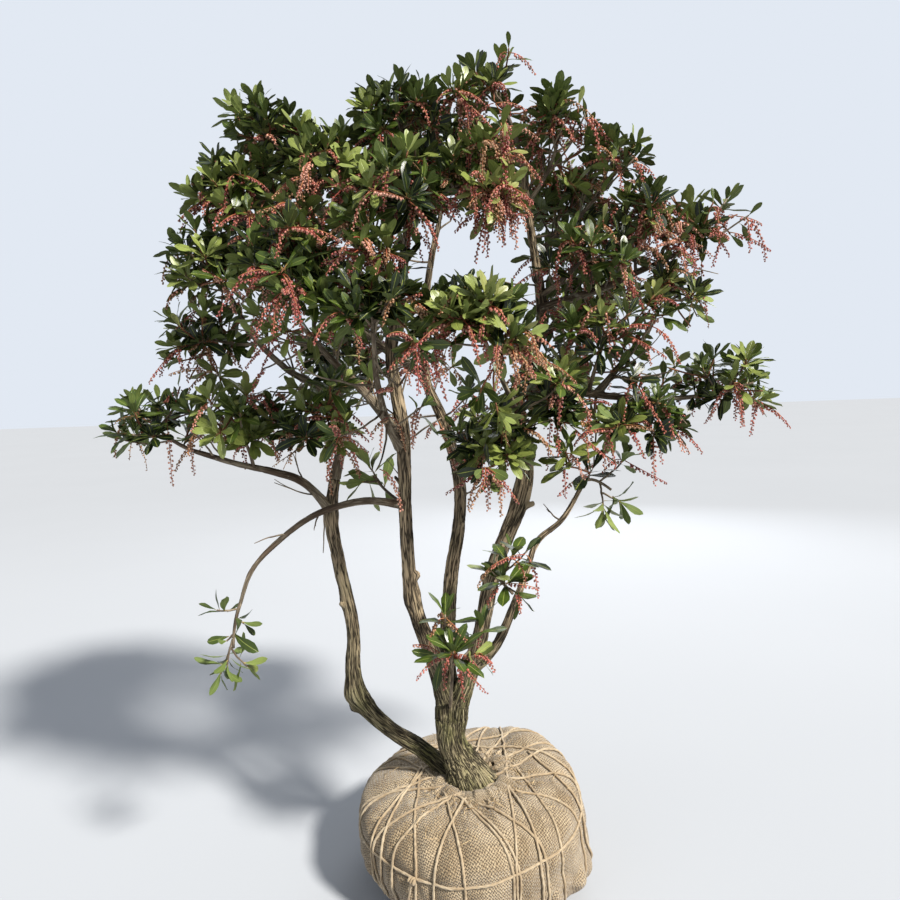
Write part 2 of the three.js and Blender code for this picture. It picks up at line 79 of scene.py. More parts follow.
# The root ball: radius at its waist and of its flat foot, height of the waist and of the crown.
BALL_RADIUS = 0.230
BALL_FOOT = 0.140
BALL_WAIST = 0.110
BALL_HEIGHT = 0.207
BALL_ROUNDNESS = 3.4
BALL_LEAN = 0.05
GATHER = (0.004, -0.026)  # where the cloth is gathered round the trunk

# The twine: how the strands pass the trunk, and the tie round the ball's shoulder.
STRANDS = 5
STRAND_PASS = 0.074
TIE_HEIGHT = 0.150
TIE_TILT = 0.020
TIE_LOW = math.radians(-118)
LOOSE_FIBRE = (0.0006, 0.0003)  # radii of a fibre at its foot and at its tip

# The other runs of twine, seen from above in millimetres: where each starts by the trunk, a point that it
# passes, and whether it also goes on from its start to the far side.
TWINE_RUNS = (
    ((-151, -178), (91, -7), True), ((-94, -54), (182, -96), True), ((-180, 84), (150, 118), True),
    ((-97, 15), (-163, -137), False), ((-102, -3), (-105, -176), False), ((-56, -58), (-26, -188), False),
    ((-2, -84), (-60, -196), False), ((-44, -64), (53, -185), False), ((-42, -74), (115, -180), False),
    ((70, -52), (118, -190), False), ((86, 8), (161, -165), False), ((-70, -28), (-219, -54), False),
    ((120, 30), (204, -64), False), ((30, 34), (128, 170), False),
    ((-20, 28), (-44, 200), False), ((-64, 30), (-150, 150), False), ((66, 14), (190, 92), False),
    ((-96, 4), (-210, 72), False), ((12, 40), (52, 210), False),
)

# Way points [x, y, z, radius] of each limb, from its foot to its tip.
LIMBS = {
    "trunk": [(4, -28, 187, 43), (-4, -29, 214, 39), (-16, -29, 240, 33), (-29, -30, 266, 28),
        (-36, -30, 298, 27), (-36, -30, 335, 30), (-32, -29, 392, 38)],
    "stem_left_centre": [(-44, -32, 372, 18.5), (-60, -38, 445, 16), (-99, -45, 584, 13.5),
        (-107, -45, 735, 12.8), (-106, -45, 908, 12.2), (-121, -45, 1053, 11.5), (-100, -38, 1180, 10),
        (-82, -26, 1300, 8), (-80, -20, 1430, 6)],
    "stem_right_centre": [(-14, -31, 374, 19), (24, -26, 475, 16), (60, -12, 620, 15),
        (122, 10, 768, 16.5), (134, 18, 840, 15), (119, 30, 950, 14), (140, 36, 1015, 12.5),
        (174, 40, 1110, 11), (172, 40, 1190, 10), (156, 38, 1310, 8), (146, 30, 1400, 6)],
    "stem_rear": [(-32, -14, 374, 16), (-38, 6, 440, 15), (-33, 26, 520, 14.5), (-23, 40, 605, 14),
        (-5, 53, 700, 13.5), (0, 62, 800, 12.5), (-30, 72, 925, 11), (-62, 80, 1009, 10),
        (-62, 92, 1130, 8.5), (-44, 104, 1250, 6.5), (-20, 122, 1350, 5)],
    "stem_right_outer": [(12, -32, 436, 9.5), (58, -44, 483, 9), (100, -47, 572, 7.5),
        (125, -47, 638, 6.5), (146, -46, 690, 5.5), (192, -45, 728, 5), (236, -43, 798, 4)],
    "stem_left_outer": [(-34, -6, 198, 18), (-100, 8, 250, 16), (-160, 10, 291, 14.5), (-222, 10, 362, 16),
        (-232, 12, 420, 14.5), (-229, 20, 500, 13), (-254, 30, 650, 12.2), (-264, 30, 745, 12),
        (-253, 30, 815, 11.5)],
    "bough_drooping": [(-110, -50, 771, 7.5), (-180, -90, 787, 6.5), (-262, -111, 770, 6),
        (-323, -122, 732, 5), (-378, -136, 678, 4.5), (-405, -140, 612, 3.5)],
    "bough_left_centre": [(-114, -48, 905, 9), (-171, -80, 988, 8), (-224, -104, 1047, 6.5),
        (-256, -124, 1090, 5)],
    "bough_upper_left": [(-101, -38, 1172, 8), (-170, -28, 1252, 7), (-240, -12, 1330, 6),
        (-296, -4, 1412, 4.5)],
    "bough_left_rise": [(-253, 30, 815, 11.5), (-236, 30, 900, 9.5), (-262, 30, 985, 8),
        (-340, 28, 1042, 7), (-402, 24, 1110, 6), (-428, 14, 1168, 4.5)],
    "bough_left_low": [(-264, 30, 752, 9), (-313, 2, 815, 8), (-361, -20, 839, 7), (-428, -30, 858, 6),
        (-505, -30, 884, 4.5)],
    "bough_right_high": [(174, 40, 1140, 9), (228, 20, 1156, 7.5), (290, 0, 1172, 6.5),
        (350, -10, 1196, 5.5), (420, -16, 1226, 4.5)],
    "bough_right_low": [(134, 34, 1002, 10), (193, 2, 984, 8.5), (242, -18, 972, 7.5),
        (312, -30, 961, 6.5), (389, -32, 955, 5.5), (440, -32, 956, 4.5)],
    "bough_right_fork": [(268, -24, 967, 6.5), (320, -30, 1029, 5.5), (364, -24, 1076, 5),
        (384, -18, 1112, 4)],
    "bough_front": [(130, 16, 828, 7.5), (142, -30, 856, 6.5), (110, -110, 930, 5.5),
        (66, -190, 1018, 4.5)],
    "bough_front_left": [(-111, -46, 880, 8), (-128, -90, 925, 7), (-138, -160, 1006, 5.5),
        (-136, -196, 1050, 4.5)],
    "bough_back_left": [(-62, 82, 1018, 9), (-130, 140, 1066, 7.5), (-220, 178, 1140, 6),
        (-282, 216, 1218, 4.5)],
    "bough_back_right": [(174, 42, 1090, 9), (206, 100, 1110, 7.5), (258, 178, 1128, 5)],
}

# Each mass of foliage: its limb, where on the limb it starts, middle and half sizes of its space, shoots.
MASSES = {
    "foliage_left_tip": ("bough_left_low", 1, (-586, -30, 940), (116, 99, 96), 4),
    "foliage_left_low": ("bough_left_low", 0.62, (-415, -60, 930), (111, 114, 102), 4),
    "foliage_left_inner": ("bough_left_rise", 0.12, (-262, -80, 930), (106, 109, 106), 3),
    "foliage_left_mid": ("bough_left_rise", 0.8, (-495, 40, 1108), (106, 111, 94), 3),
    "foliage_left_outer": ("bough_left_rise", 1, (-460, -8, 1236), (116, 119, 102), 4),
    "foliage_left_upper": ("bough_upper_left", 0.82, (-412, -20, 1366), (119, 111, 96), 4),
    "foliage_upper_left": ("bough_upper_left", 1, (-340, 0, 1480), (111, 109, 102), 4),
    "foliage_left_front": ("bough_left_centre", 1, (-275, -170, 1195), (114, 121, 111), 4),
    "foliage_upper_mid": ("bough_upper_left", 0.5, (-220, -40, 1412), (114, 119, 111), 4),
    "foliage_top_left": ("stem_left_centre", 1, (-92, -20, 1490), (119, 119, 113), 4),
    "foliage_upper_centre": ("stem_left_centre", 0.83, (-100, -160, 1310), (109, 119, 111), 4),
    "foliage_front_left": ("bough_front_left", 1, (-130, -260, 1115), (114, 111, 90), 4),
    "foliage_front": ("bough_front", 1, (28, -270, 1095), (114, 111, 87), 4),
    "foliage_centre_high": ("stem_left_centre", 0.9, (22, -100, 1350), (92, 111, 109), 4),
    "foliage_top": ("stem_right_centre", 1, (86, 0, 1556), (87, 85, 89), 3),
    "foliage_top_right": ("stem_right_centre", 0.95, (213, 0, 1466), (106, 111, 99), 4),
    "foliage_right_peak": ("stem_right_centre", 0.86, (328, -4, 1404), (89, 92, 83), 2),
    "foliage_right_rear": ("stem_right_centre", 0.84, (240, 140, 1370), (111, 114, 111), 3),
    "foliage_right_shoulder": ("bough_right_high", 0.72, (362, -20, 1302), (102, 102, 83), 3),
    "foliage_right_high": ("bough_right_high", 1, (492, -20, 1280), (99, 94, 92), 3),
    "foliage_right_centre": ("stem_right_centre", 0.78, (250, -66, 1228), (96, 109, 94), 3),
    "foliage_right_mid": ("bough_right_low", 0.42, (275, -90, 1078), (102, 111, 89), 4),
    "foliage_right_fork": ("bough_right_fork", 1, (430, -16, 1150), (85, 85, 68), 2),
    "foliage_centre_low": ("stem_right_centre", 0.6, (165, -104, 968), (102, 106, 94), 4),
    "foliage_right_low": ("bough_right_low", 0.7, (345, -72, 912), (106, 104, 89), 4),
    "foliage_right_tip": ("bough_right_low", 1, (524, -32, 975), (119, 106, 102), 4),
    "foliage_centre_skirt": ("stem_right_centre", 0.48, (58, -112, 876), (102, 104, 87), 3),
    "foliage_right_skirt": ("stem_right_outer", 1, (287, -56, 786), (94, 92, 126), 3),
    "foliage_stem_spray": ("stem_right_centre", 0.24, (88, -122, 612), (74, 78, 96), 2),
    "foliage_fork_spray": ("trunk", 0.8, (-22, -140, 540), (102, 87, 102), 2),
    "foliage_stem_tuft": ("stem_left_centre", 0.38, (-170, -8, 822), (66, 66, 64), 2),
    "foliage_droop_tip": ("bough_drooping", 1, (-420, -142, 536), (76, 72, 112), 3),
    "foliage_back_left": ("bough_back_left", 1, (-352, 232, 1318), (138, 130, 132), 5),
    "foliage_back_centre": ("stem_rear", 1, (-120, 214, 1448), (130, 130, 130), 5),
    "foliage_back_right": ("bough_back_right", 1, (318, 236, 1182), (132, 130, 125), 5),
    "foliage_back_low_left": ("bough_back_left", 0.4, (-258, 248, 1062), (132, 122, 118), 4),
    "foliage_back_low_right": ("stem_rear", 0.52, (228, 246, 985), (124, 124, 114), 4),
    "foliage_back_top": ("stem_right_centre", 0.98, (64, 176, 1486), (110, 116, 112), 4),
}

# Small knots and pruned stubs on the wood: limb, place along it, angle round it, length, radius.
STUBS = (
    ("stem_left_outer", 0.325, 20, 12, 11), ("stem_left_outer", 0.37, 60, 8, 8),
    ("stem_left_outer", 0.62, 300, 16, 4), ("stem_left_centre", 0.24, 200, 12, 8),
    ("stem_left_centre", 0.41, 40, 20, 4), ("stem_left_centre", 0.62, 120, 18, 4),
    ("stem_right_centre", 0.22, 330, 13, 7), ("stem_right_centre", 0.37, 210, 20, 5),
    ("stem_rear", 0.33, 250, 18, 4), ("stem_rear", 0.55, 90, 22, 4),
    ("stem_right_outer", 0.52, 80, 16, 3),
)
WOOD = [name for name in LIMBS if not name.startswith("bough")]
BOUGHS = [name for name in LIMBS if name.startswith("bough")]
LIMB_SPACING = 0.004  # between the points along a limb
# How far the grain of each tube, and of each limb, is shifted from that of the one before it.
TUBE_GRAIN_SHIFT = 0.37
LIMB_GRAIN_SHIFT = 0.83


def settings(group):
    """The values that a user has set in one of the panel's groups."""
    return getattr(bpy.context.scene, "pieris_" + group)


# ---------------------------------------------------------------- numbers and curves


def random_from(seed):
    """Park-Miller random numbers from 0 to 1."""
    state = (seed * 7919 + 104729) % 2147483647

    def draw(low=0.0, high=1.0):
        nonlocal state
        state = state * 48271 % 2147483647
        return low + (high - low) * state / 2147483647

    return draw


def smoothstep(low, high, value):
    t = np.clip((value - low) / (high - low), 0, 1)
    return t * t * (3 - 2 * t)


def unit(vectors):
    return vectors / np.maximum(np.linalg.norm(vectors, axis=-1, keepdims=True), 1e-12)


def noise_at(points, scale, seed=0.0):
    """Smooth noise of about -1 to 1 at each point, with lumps about one scale wide."""
    return np.array([noise.noise(p) for p in (np.asarray(points) / scale + seed).tolist()])


def centripetal(points, steps):
    """A centripetal Catmull-Rom curve through points, with some steps between each two of them."""
    ghosts = np.vstack([2 * points[0] - points[1], points, 2 * points[-1] - points[-2]])
    pieces = []
    t = np.linspace(0, 1, steps, endpoint=False)[:, None]
    for a, b, c, d in zip(ghosts, ghosts[1:], ghosts[2:], ghosts[3:]):
        da, db, dc = (np.linalg.norm(q - p) ** 0.5 for p, q in ((a, b), (b, c), (c, d)))
        start = ((b - a) / da - (c - a) / (da + db) + (c - b) / db) * db
        end = ((c - b) / db - (d - b) / (db + dc) + (d - c) / dc) * db
        rise = c - b
        pieces.append(b + start * t + (3 * rise - 2 * start - end) * t**2 + (start + end - 2 * rise) * t**3)
    return np.vstack([*pieces, points[-1:]])


def lengths_along(points):
    return np.concatenate([[0.0], np.cumsum(np.linalg.norm(np.diff(points, axis=0), axis=1))])


def spaced(points, count):
    """The same line with count points, evenly spaced."""
    along = lengths_along(points)
    stops = np.linspace(0, along[-1], count)
    return np.stack([np.interp(stops, along, column) for column in points.T], axis=1)


def bezier(start, bend, end, count):
    t = np.linspace(0, 1, count)[:, None]
    return start * (1 - t) ** 2 + 2 * bend * t * (1 - t) + end * t**2


def tapered(line, radii):
    """A line and its radii, which go evenly from the first to the last of two."""
    return line, np.linspace(*radii, len(line))


def jitter(random, low=-1, high=1):
    """A random offset of -1 to 1 to each side, and of low to high in height."""
    return np.array([random(-1, 1), random(-1, 1), random(low, high)])


def level(angles):
    """The level direction at each of the angles."""
    return np.stack([np.cos(angles), np.sin(angles), 0 * angles], 1)


def out_of(lean, turn):
    """The direction square to a limb's lean, at an angle round it."""
    side = unit(np.cross(lean, (0.2, 1.0, 0.1)))
    return side * math.cos(turn) + np.cross(side, lean) * math.sin(turn)


def carried_frames(points):
    """Tangents, and two normals that turn along the line as little as they can."""
    tangents = unit(np.gradient(points, axis=0))
    normals = np.empty_like(tangents)
    normal = np.cross(tangents[0], (0.0, 1.0, 0.0) if abs(tangents[0][1]) < 0.9 else (1.0, 0.0, 0.0))
    for i, tangent in enumerate(tangents):
        normal = normal - tangent * (normal @ tangent)
        normal = normal / np.linalg.norm(normal)
        normals[i] = normal
    return tangents, normals, np.cross(tangents, normals)


class Limb:
    """A tapering limb: evenly spaced points, radii and frames along its curve."""

    def __init__(self, name):
        way = np.array(LIMBS[name], float) * MM
        steps = 40
        curve = centripetal(way[:, :3], steps)
        along = lengths_along(curve)
        self.length = along[-1]
        self.points = spaced(curve, int(self.length / LIMB_SPACING) + 2)
        self.along = np.linspace(0, self.length, len(self.points))
        self.radii = np.interp(self.along, along[::steps], way[:, 3])
        self.tangents, self.normals, self.binormals = carried_frames(self.points)

    def at(self, share):
        """Point, direction and radius at a share of the limb's length."""
        i = share * (len(self.points) - 1)
        low = min(int(i), len(self.points) - 2)
        point = self.points[low] + (self.points[low + 1] - self.points[low]) * (i - low)
        return point, self.tangents[low], self.radii[low]


@functools.cache
def limb(name):
    return Limb(name)


# ---------------------------------------------------------------- meshes


def only(obj):
    """Selects one object, and nothing else."""
    bpy.ops.object.select_all(action="DESELECT")
    obj.select_set(True)
    bpy.context.view_layer.objects.active = obj


def apply_modifier(obj, kind, **values):
    only(obj)
    modifier = obj.modifiers.new(kind.title(), kind)
    for name, value in values.items():
        setattr(modifier, name, value)
    bpy.ops.object.modifier_apply(modifier=modifier.name)


def vertices_of(obj):
    flat = np.empty(len(obj.data.vertices) * 3, np.float32)
    obj.data.vertices.foreach_get("co", flat)
    return flat.reshape(-1, 3).astype(float)


def normals_of(obj):
    flat = np.empty(len(obj.data.vertices) * 3, np.float32)
    obj.data.vertices.foreach_get("normal", flat)
    return flat.reshape(-1, 3).astype(float)


def move_vertices(obj, points):
    obj.data.vertices.foreach_set("co", np.ascontiguousarray(points, np.float32).ravel())
    obj.data.update()


def store(obj, name, vectors):
    """Keeps a vector for each vertex, which the materials read."""
    layer = obj.data.attributes.new(name, "FLOAT_VECTOR", "POINT")
    layer.data.foreach_set("vector", np.ascontiguousarray(vectors, np.float32).ravel())


def faces_of(mesh):
    """The corners of each face of a mesh, as lists of three or four vertices."""
    return [list(face.vertices) for face in mesh.polygons]


def mesh_piece(name, points, faces, coords=None, uvs=None):
    """An object of many joined small shapes. faces is a list of arrays, each with its own face size."""
    mesh = bpy.data.meshes.new(name)
    faces = [np.asarray(block) for block in faces if len(block)]
    corners = np.concatenate([block.ravel() for block in faces])
    totals = np.concatenate([np.full(len(block), block.shape[1]) for block in faces])
    mesh.vertices.add(len(points))
    mesh.vertices.foreach_set("co", np.ascontiguousarray(points, np.float32).ravel())
    mesh.loops.add(len(corners))
    mesh.loops.foreach_set("vertex_index", corners.astype(np.int32))
    mesh.polygons.add(len(totals))
    mesh.polygons.foreach_set("loop_start", (np.cumsum(totals) - totals).astype(np.int32))
    mesh.polygons.foreach_set("use_smooth", np.ones(len(totals), bool))
    mesh.update(calc_edges=True)
    obj = bpy.data.objects.new(name, mesh)
    bpy.context.scene.collection.objects.link(obj)
    if coords is not None:
        store(obj, "grain", coords)
    if uvs is not None:
        layer = mesh.uv_layers.new(name="UVMap")
        layer.data.foreach_set("uv", np.ascontiguousarray(uvs[corners], np.float32).ravel())
    mesh.validate()
    return obj


def finish_piece(obj, name, material, stands_for=()):
    """Names a piece, shades it smooth and hands it to the frame."""
    obj.name = name
    obj.data.name = name
    only(obj)
    bpy.ops.object.shade_smooth()
    obj.data.materials.clear()
    obj.data.materials.append(material)
    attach(obj, "root")
    if stands_for:
        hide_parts(*stands_for)


def sweep(paths, sides, profile=None):
    """Closed tubes along paths. Each path is its points and radii, and profile(angle, along) shapes
    the section. Gives the vertices, the faces and the grain coordinates."""
    turn = np.arange(sides) * 2 * np.pi / sides
    points, quads, caps, grain = [], [], [], []
    first = 0
    for number, (line, radii) in enumerate(paths):
        _, normals, binormals = carried_frames(line)
        along = lengths_along(line)
        radii = np.broadcast_to(np.asarray(radii, float), len(line))[:, None]
        shape = radii if profile is None else radii * profile(turn[None], along[:, None])
        outward = (np.cos(turn)[None, :, None] * normals[:, None]
                   + np.sin(turn)[None, :, None] * binormals[:, None])
        points.append((line[:, None] + shape[..., None] * outward).reshape(-1, 3))
        broad = float(radii.mean())
        place = (np.cos(turn)[None] * broad, np.sin(turn)[None] * broad,
                 along[:, None] + TUBE_GRAIN_SHIFT * number)
        grain.append(np.stack(np.broadcast_arrays(*place), axis=2).reshape(-1, 3))
        ring = first + np.arange(len(line) - 1)[:, None] * sides
        k = np.arange(sides)[None]
        after = (k + 1) % sides
        corners = [ring + k, ring + after, ring + sides + after, ring + sides + k]
        quads.append(np.stack(corners, 2).reshape(-1, 4))
        fan = np.arange(1, sides - 1)
        last = first + (len(line) - 1) * sides
        caps.append(np.stack([np.full(sides - 2, first), first + fan + 1, first + fan], 1))
        caps.append(np.stack([np.full(sides - 2, last), last + fan, last + fan + 1], 1))
        first = last + sides
    return np.vstack(points), [np.vstack(quads), np.vstack(caps)], np.vstack(grain)


def scatter(template, places):
    """Copies of a template, one for each 3 by 4 matrix of places: vertices, faces and UVs."""
    points, faces, uvs = template
    places = np.asarray(places)
    copies = np.einsum("nij,vj->nvi", places[:, :, :3], points) + places[:, None, :, 3]
    shift = np.arange(len(places))[:, None, None] * len(points)
    sizes = sorted({len(face) for face in faces})
    blocks = [(np.array([f for f in faces if len(f) == n])[None] + shift).reshape(-1, n) for n in sizes]
    return copies.reshape(-1, 3), blocks, np.tile(uvs, (len(places), 1))


def joined(parts):
    """Joins several results of scatter into one."""
    points, blocks, uvs, first = [], {}, [], 0
    for part_points, part_faces, part_uvs in parts:
        for block in part_faces:
            blocks.setdefault(block.shape[1], []).append(block + first)
        points.append(part_points)
        uvs.append(part_uvs)
        first += len(part_points)
    return np.vstack(points), [np.vstack(stack) for stack in blocks.values()], np.vstack(uvs)


# ---------------------------------------------------------------- growth rule of the foliage


REACH = 1.30  # how far from a mass's middle its leaves may end, where its border is at 1
NEIGHBOURS = 0.29  # masses whose middles are nearer than this have shoots between them
CLOSE_NEIGHBOURS = 0.24  # and those nearer than this have more of them
# Radii of twigs, at the foot and at the tip.
MAIN_SHOOT = (0.0025, 0.0018)
FINE_SHOOT = (0.0019, 0.0015)
SPRAY_SHOOT = (0.0021, 0.0015)
SIDE_SHOOT = (0.0023, 0.0013)
# Radii of a mass's stem: at most at its foot, the same for a spray, and at its tip.
STEM_THICKEST = 0.006
SPRAY_STEM_THICKEST = 0.0034
STEM_TIP = 0.0026
# Masses that are more open than the rest, with their share of the shoots.
THIN = {
    "foliage_stem_tuft": 0.34, "foliage_right_low": 0.50, "foliage_right_tip": 0.62,
    "foliage_right_fork": 0.55, "foliage_right_high": 0.50, "foliage_right_shoulder": 0.55,
    "foliage_right_mid": 0.55, "foliage_right_centre": 0.62, "foliage_right_peak": 0.55,
    "foliage_top_right": 0.55, "foliage_top": 0.62, "foliage_left_tip": 0.75, "foliage_left_low": 0.80,
    "foliage_left_inner": 0.80, "foliage_left_mid": 0.85, "foliage_centre_low": 0.8,
}
# Sprays low on the plant, rosette by rosette: place in millimetres, leaves, racemes, and how far the
# rosette turns up (1) or hangs (-1).
SPRAYS = {
    "foliage_fork_spray": (
        ((-24, -155, 521), 15, 7, 1.0), ((-36, -124, 578), 7, 4, 0.6), ((-52, -138, 508), 4, 1, -0.6),
        ((18, -140, 506), 5, 2, -0.3), ((30, -128, 552), 4, 1, 0.7)),
    "foliage_stem_spray": (
        ((73, -104, 631), 9, 2, 0.4), ((52, -112, 652), 5, 0, 0.9), ((90, -118, 682), 6, 2, 0.5),
        ((116, -124, 690), 4, 2, 0.9), ((104, -96, 600), 5, 1, -0.9)),
    "foliage_right_skirt": (
        ((268, -66, 748), 9, 0, -1.1), ((306, -52, 760), 6, 0, -0.8), ((250, -60, 826), 6, 1, 0.5),
        ((318, -40, 846), 7, 2, 0.7)),
    "foliage_stem_tuft": (
        ((-178, -8, 842), 7, 0, 0.8), ((-196, -20, 812), 5, 0, -0.2), ((-150, 10, 800), 4, 0, 0.3)),
    "foliage_droop_tip": (
        ((-444, -145, 608), 5, 0, 0.9), ((-400, -136, 578), 5, 0, -0.2), ((-428, -150, 552), 3, 0, 0.4),
        ((-430, -152, 508), 9, 0, 0.1), ((-398, -140, 500), 5, 0, 0.4), ((-448, -136, 486), 5, 0, -0.9)),
}
# Masses that bloom more than the rest, with the share of their shoots that carry racemes.
BLOOM = {
    "foliage_centre_high": 0.85, "foliage_upper_centre": 0.7, "foliage_top_right": 0.7,
    "foliage_top": 0.6, "foliage_left_front": 0.6, "foliage_left_upper": 0.6,
    "foliage_right_mid": 0.65, "foliage_centre_low": 0.65, "foliage_right_shoulder": 0.6,
    "foliage_right_centre": 0.6, "foliage_right_tip": 0.6, "foliage_right_high": 0.6,
    "foliage_left_low": 0.45, "foliage_left_inner": 0.45, "foliage_top_left": 0.55,
    "foliage_right_low": 0.55,
}
# Openings where the sky shows through the crown, as two corners each.
SKY_WINDOWS = (
    ((-0.035, -0.15, 1.12), (0.106, 0.40, 1.29)), ((0.02, -0.40, 0.99), (0.10, 0.40, 1.06)),
    ((-0.03, -0.45, 1.135), (0.10, -0.15, 1.255)), ((-0.300, -0.30, 1.475), (-0.215, 0.10, 1.62)),
    ((0.118, -0.30, 1.50), (0.165, 0.10, 1.66)),
)
# Groups of like shoots that stand out of the crown: middle and spread in millimetres, shoots, leaves and
# racemes on each, how far they turn up, and how bright their leaves are.
GROUPS_OF_SHOOTS = (
    ((74, -170, 1350), (34, 24, 80), 15, 5, 4, 0.2, 0.95),
    ((26, -325, 1098), (52, 26, 22), 11, 12, 1, 1.0, 1.0),
    ((81, -300, 1052), (42, 18, 12), 5, 6, 4, 0.1, 0.8),
    ((20, -70, 1518), (21, 14, 11), 3, 8, 3, 0.9, 0.7),
    ((-129, -250, 1219), (19, 12, 19), 3, 6, 5, 0.2, 0.6),
    ((-270, -240, 1149), (13, 10, 9), 2, 6, 5, 0.2, 0.6),
    ((-314, -120, 1317), (61, 24, 17), 6, 6, 5, 0.4, 0.7),
    ((-221, -120, 1370), (31, 20, 21), 4, 6, 4, 0.4, 0.5),
    ((-63, -320, 1053), (12, 10, 12), 2, 6, 4, -0.2, 0.4),
    ((234, -120, 878), (63, 30, 50), 7, 9, 1, 0.5, 0.8),
    ((46, -180, 836), (14, 10, 24), 3, 3, 3, -0.4, 0.3),
    ((391, -60, 1268), (64, 24, 40), 6, 6, 4, 0.4, 0.6),
    ((192, -20, 1514), (28, 14, 12), 4, 11, 1, 1.0, 0.5),
)


# The end of a shoot: its twig, its racemes, how far its leaves may reach, its leaves, how far it turns up
# and how bright they are.
Rosette = collections.namedtuple(
    "Rosette", "line racemes reach leaves rise tone", defaults=(None, 0.75, None))


def in_window(place):
    """Whether a place lies in an opening of the crown."""
    return any(np.all(place > low) and np.all(place < high) for low, high in SKY_WINDOWS)


class Mass:
    """One mass of foliage: its space, its stem and, once grown, its twigs and rosettes."""

    def __init__(self, index, name):
        on, share, centre, size, shoots = MASSES[name]
        self.name, self.share, self.shoots = name, share, shoots
        self.limb = limb(on)
        self.centre = np.array(centre) * MM
        self.size = np.array(size) * MM
        self.random = random_from(index + 1)
        self.rosettes = []
        self.old_twigs = []
        self.young_twigs = []

    def depth(self, points):
        """How far points are from the middle: 0 there, 1 at the border of the space."""
        return np.linalg.norm((points - self.centre) / self.size, axis=-1)


def mass_stem(mass):
    """The stem goes on from its limb's tip, or leaves the side of it, and sweeps to the middle."""
    foot, lean, radius = mass.limb.at(mass.share)
    aim = mass.centre - foot
    span = np.linalg.norm(aim)
    aim = aim / span
    aim = lean if mass.share == 1 else unit(aim - 0.5 * lean * (aim @ lean))
    line = bezier(foot, foot + aim * span * 0.45, mass.centre, 14)
    if mass.share == 1:
        line[0] = foot - lean * 0.006
    foot_radius = radius * (1.0 if mass.share == 1 else 0.62)
    thickest = SPRAY_STEM_THICKEST if mass.name in SPRAYS else STEM_THICKEST
    return tapered(line, (min(foot_radius, thickest), STEM_TIP))


def shoot_ends(mass, random):
    """The ends and starts of the main shoots, by the same draws as in the solid model."""
    turn = random() * math.pi * 2
    for k in range(mass.shoots):
        rise = 0.85 - 1.15 * k / (mass.shoots - 1)
        flat = math.sqrt(1 - rise * rise)
        angle = turn + k * (math.pi * 2 / 3 if mass.shoots < 4 else GOLDEN_ANGLE) + random() * 0.5
        reach = 0.46 + 0.12 * random()
        out = np.array([flat * math.cos(angle), flat * math.sin(angle), rise]) * mass.size
        yield mass.centre + out * reach, 0.76 + 0.2 * random()


def crooked(start, end, lift, random, count=7):
    """A twig from start to end that sets out low, turns up and wavers a little."""
    span = np.linalg.norm(end - start)
    side = unit(np.cross(end - start, UP) + 1e-9)
    bend = (start + end) / 2 - UP * span * lift + side * span * random(-0.16, 0.16)
    line = bezier(start, bend, end, count)
    for i in range(1, count - 1):
        line[i] += span * 0.02 * jitter(random)
    return line


def grow(mass):
    """Fills the space of a mass: the main shoots first, then finer ones that fork from them."""
    random = mass.random
    stem, radii = mass_stem(mass)
    mass.old_twigs.append((stem, radii))
    if mass.name in SPRAYS:
        for place, leaves, racemes, rise in SPRAYS[mass.name]:
            end = np.array(place) * MM
            hosts = [line for line, _ in mass.old_twigs]
            host = min(hosts, key=lambda line: np.linalg.norm(line[:-2] - end, axis=1).min())
            spot = int(np.linalg.norm(host[:-2] - end, axis=1).argmin())
            line = crooked(host[max(0, spot - 2)], end, 0.08 * rise, random, 8)
            mass.old_twigs.append(tapered(line, SPRAY_SHOOT))
            mass.rosettes.append(Rosette(line, racemes, 1.5, leaves, rise, random(0.3, 0.85)))
        return
    lines = []
    for end, share in list(shoot_ends(mass, random)):
        start = stem[min(int(share * (len(stem) - 1)), len(stem) - 2)]
        line = crooked(start, end, 0.06, random)
        lines.append(line)
        mass.old_twigs.append(tapered(line, MAIN_SHOOT))
        mass.rosettes.append(Rosette(line, 3, REACH))
    crowd = settings("foliage").rosettes * np.prod(mass.size / 0.105) ** 0.6
    leafy = THIN.get(mass.name, 1)
    fine = max(1, round(crowd * (0.45 + 0.55 * leafy)) - mass.shoots)
    turn = random() * math.pi * 2
    for k in range(fine):
        rise = 0.95 - 1.55 * (k + 0.5) / fine
        flat = math.sqrt(1 - rise * rise)
        angle = turn + k * GOLDEN_ANGLE
        reach = random(0.30, 0.80)
        out = np.array([flat * math.cos(angle), flat * math.sin(angle), rise]) * mass.size
        end = mass.centre + out * reach
        if in_window(end):
            continue
        host = min(lines, key=lambda line: np.linalg.norm(line[3:] - end, axis=1).min())
        if random() < 0.25:
            host = stem
        spot = int(random(0.3, 0.85) * (len(host) - 1))
        line = crooked(host[spot], end, random(0.0, 0.14), random, 6)
        twigs = mass.young_twigs if host is not stem else mass.old_twigs
        twigs.append(tapered(line, FINE_SHOOT))
        if random() < leafy:
            mass.rosettes.append(Rosette(line, int(random(0.3, 4.5)), REACH))
        else:
            mass.rosettes.append(Rosette(line, int(random(0, 3.1)), REACH, int(random(0, 4)), 0.4))


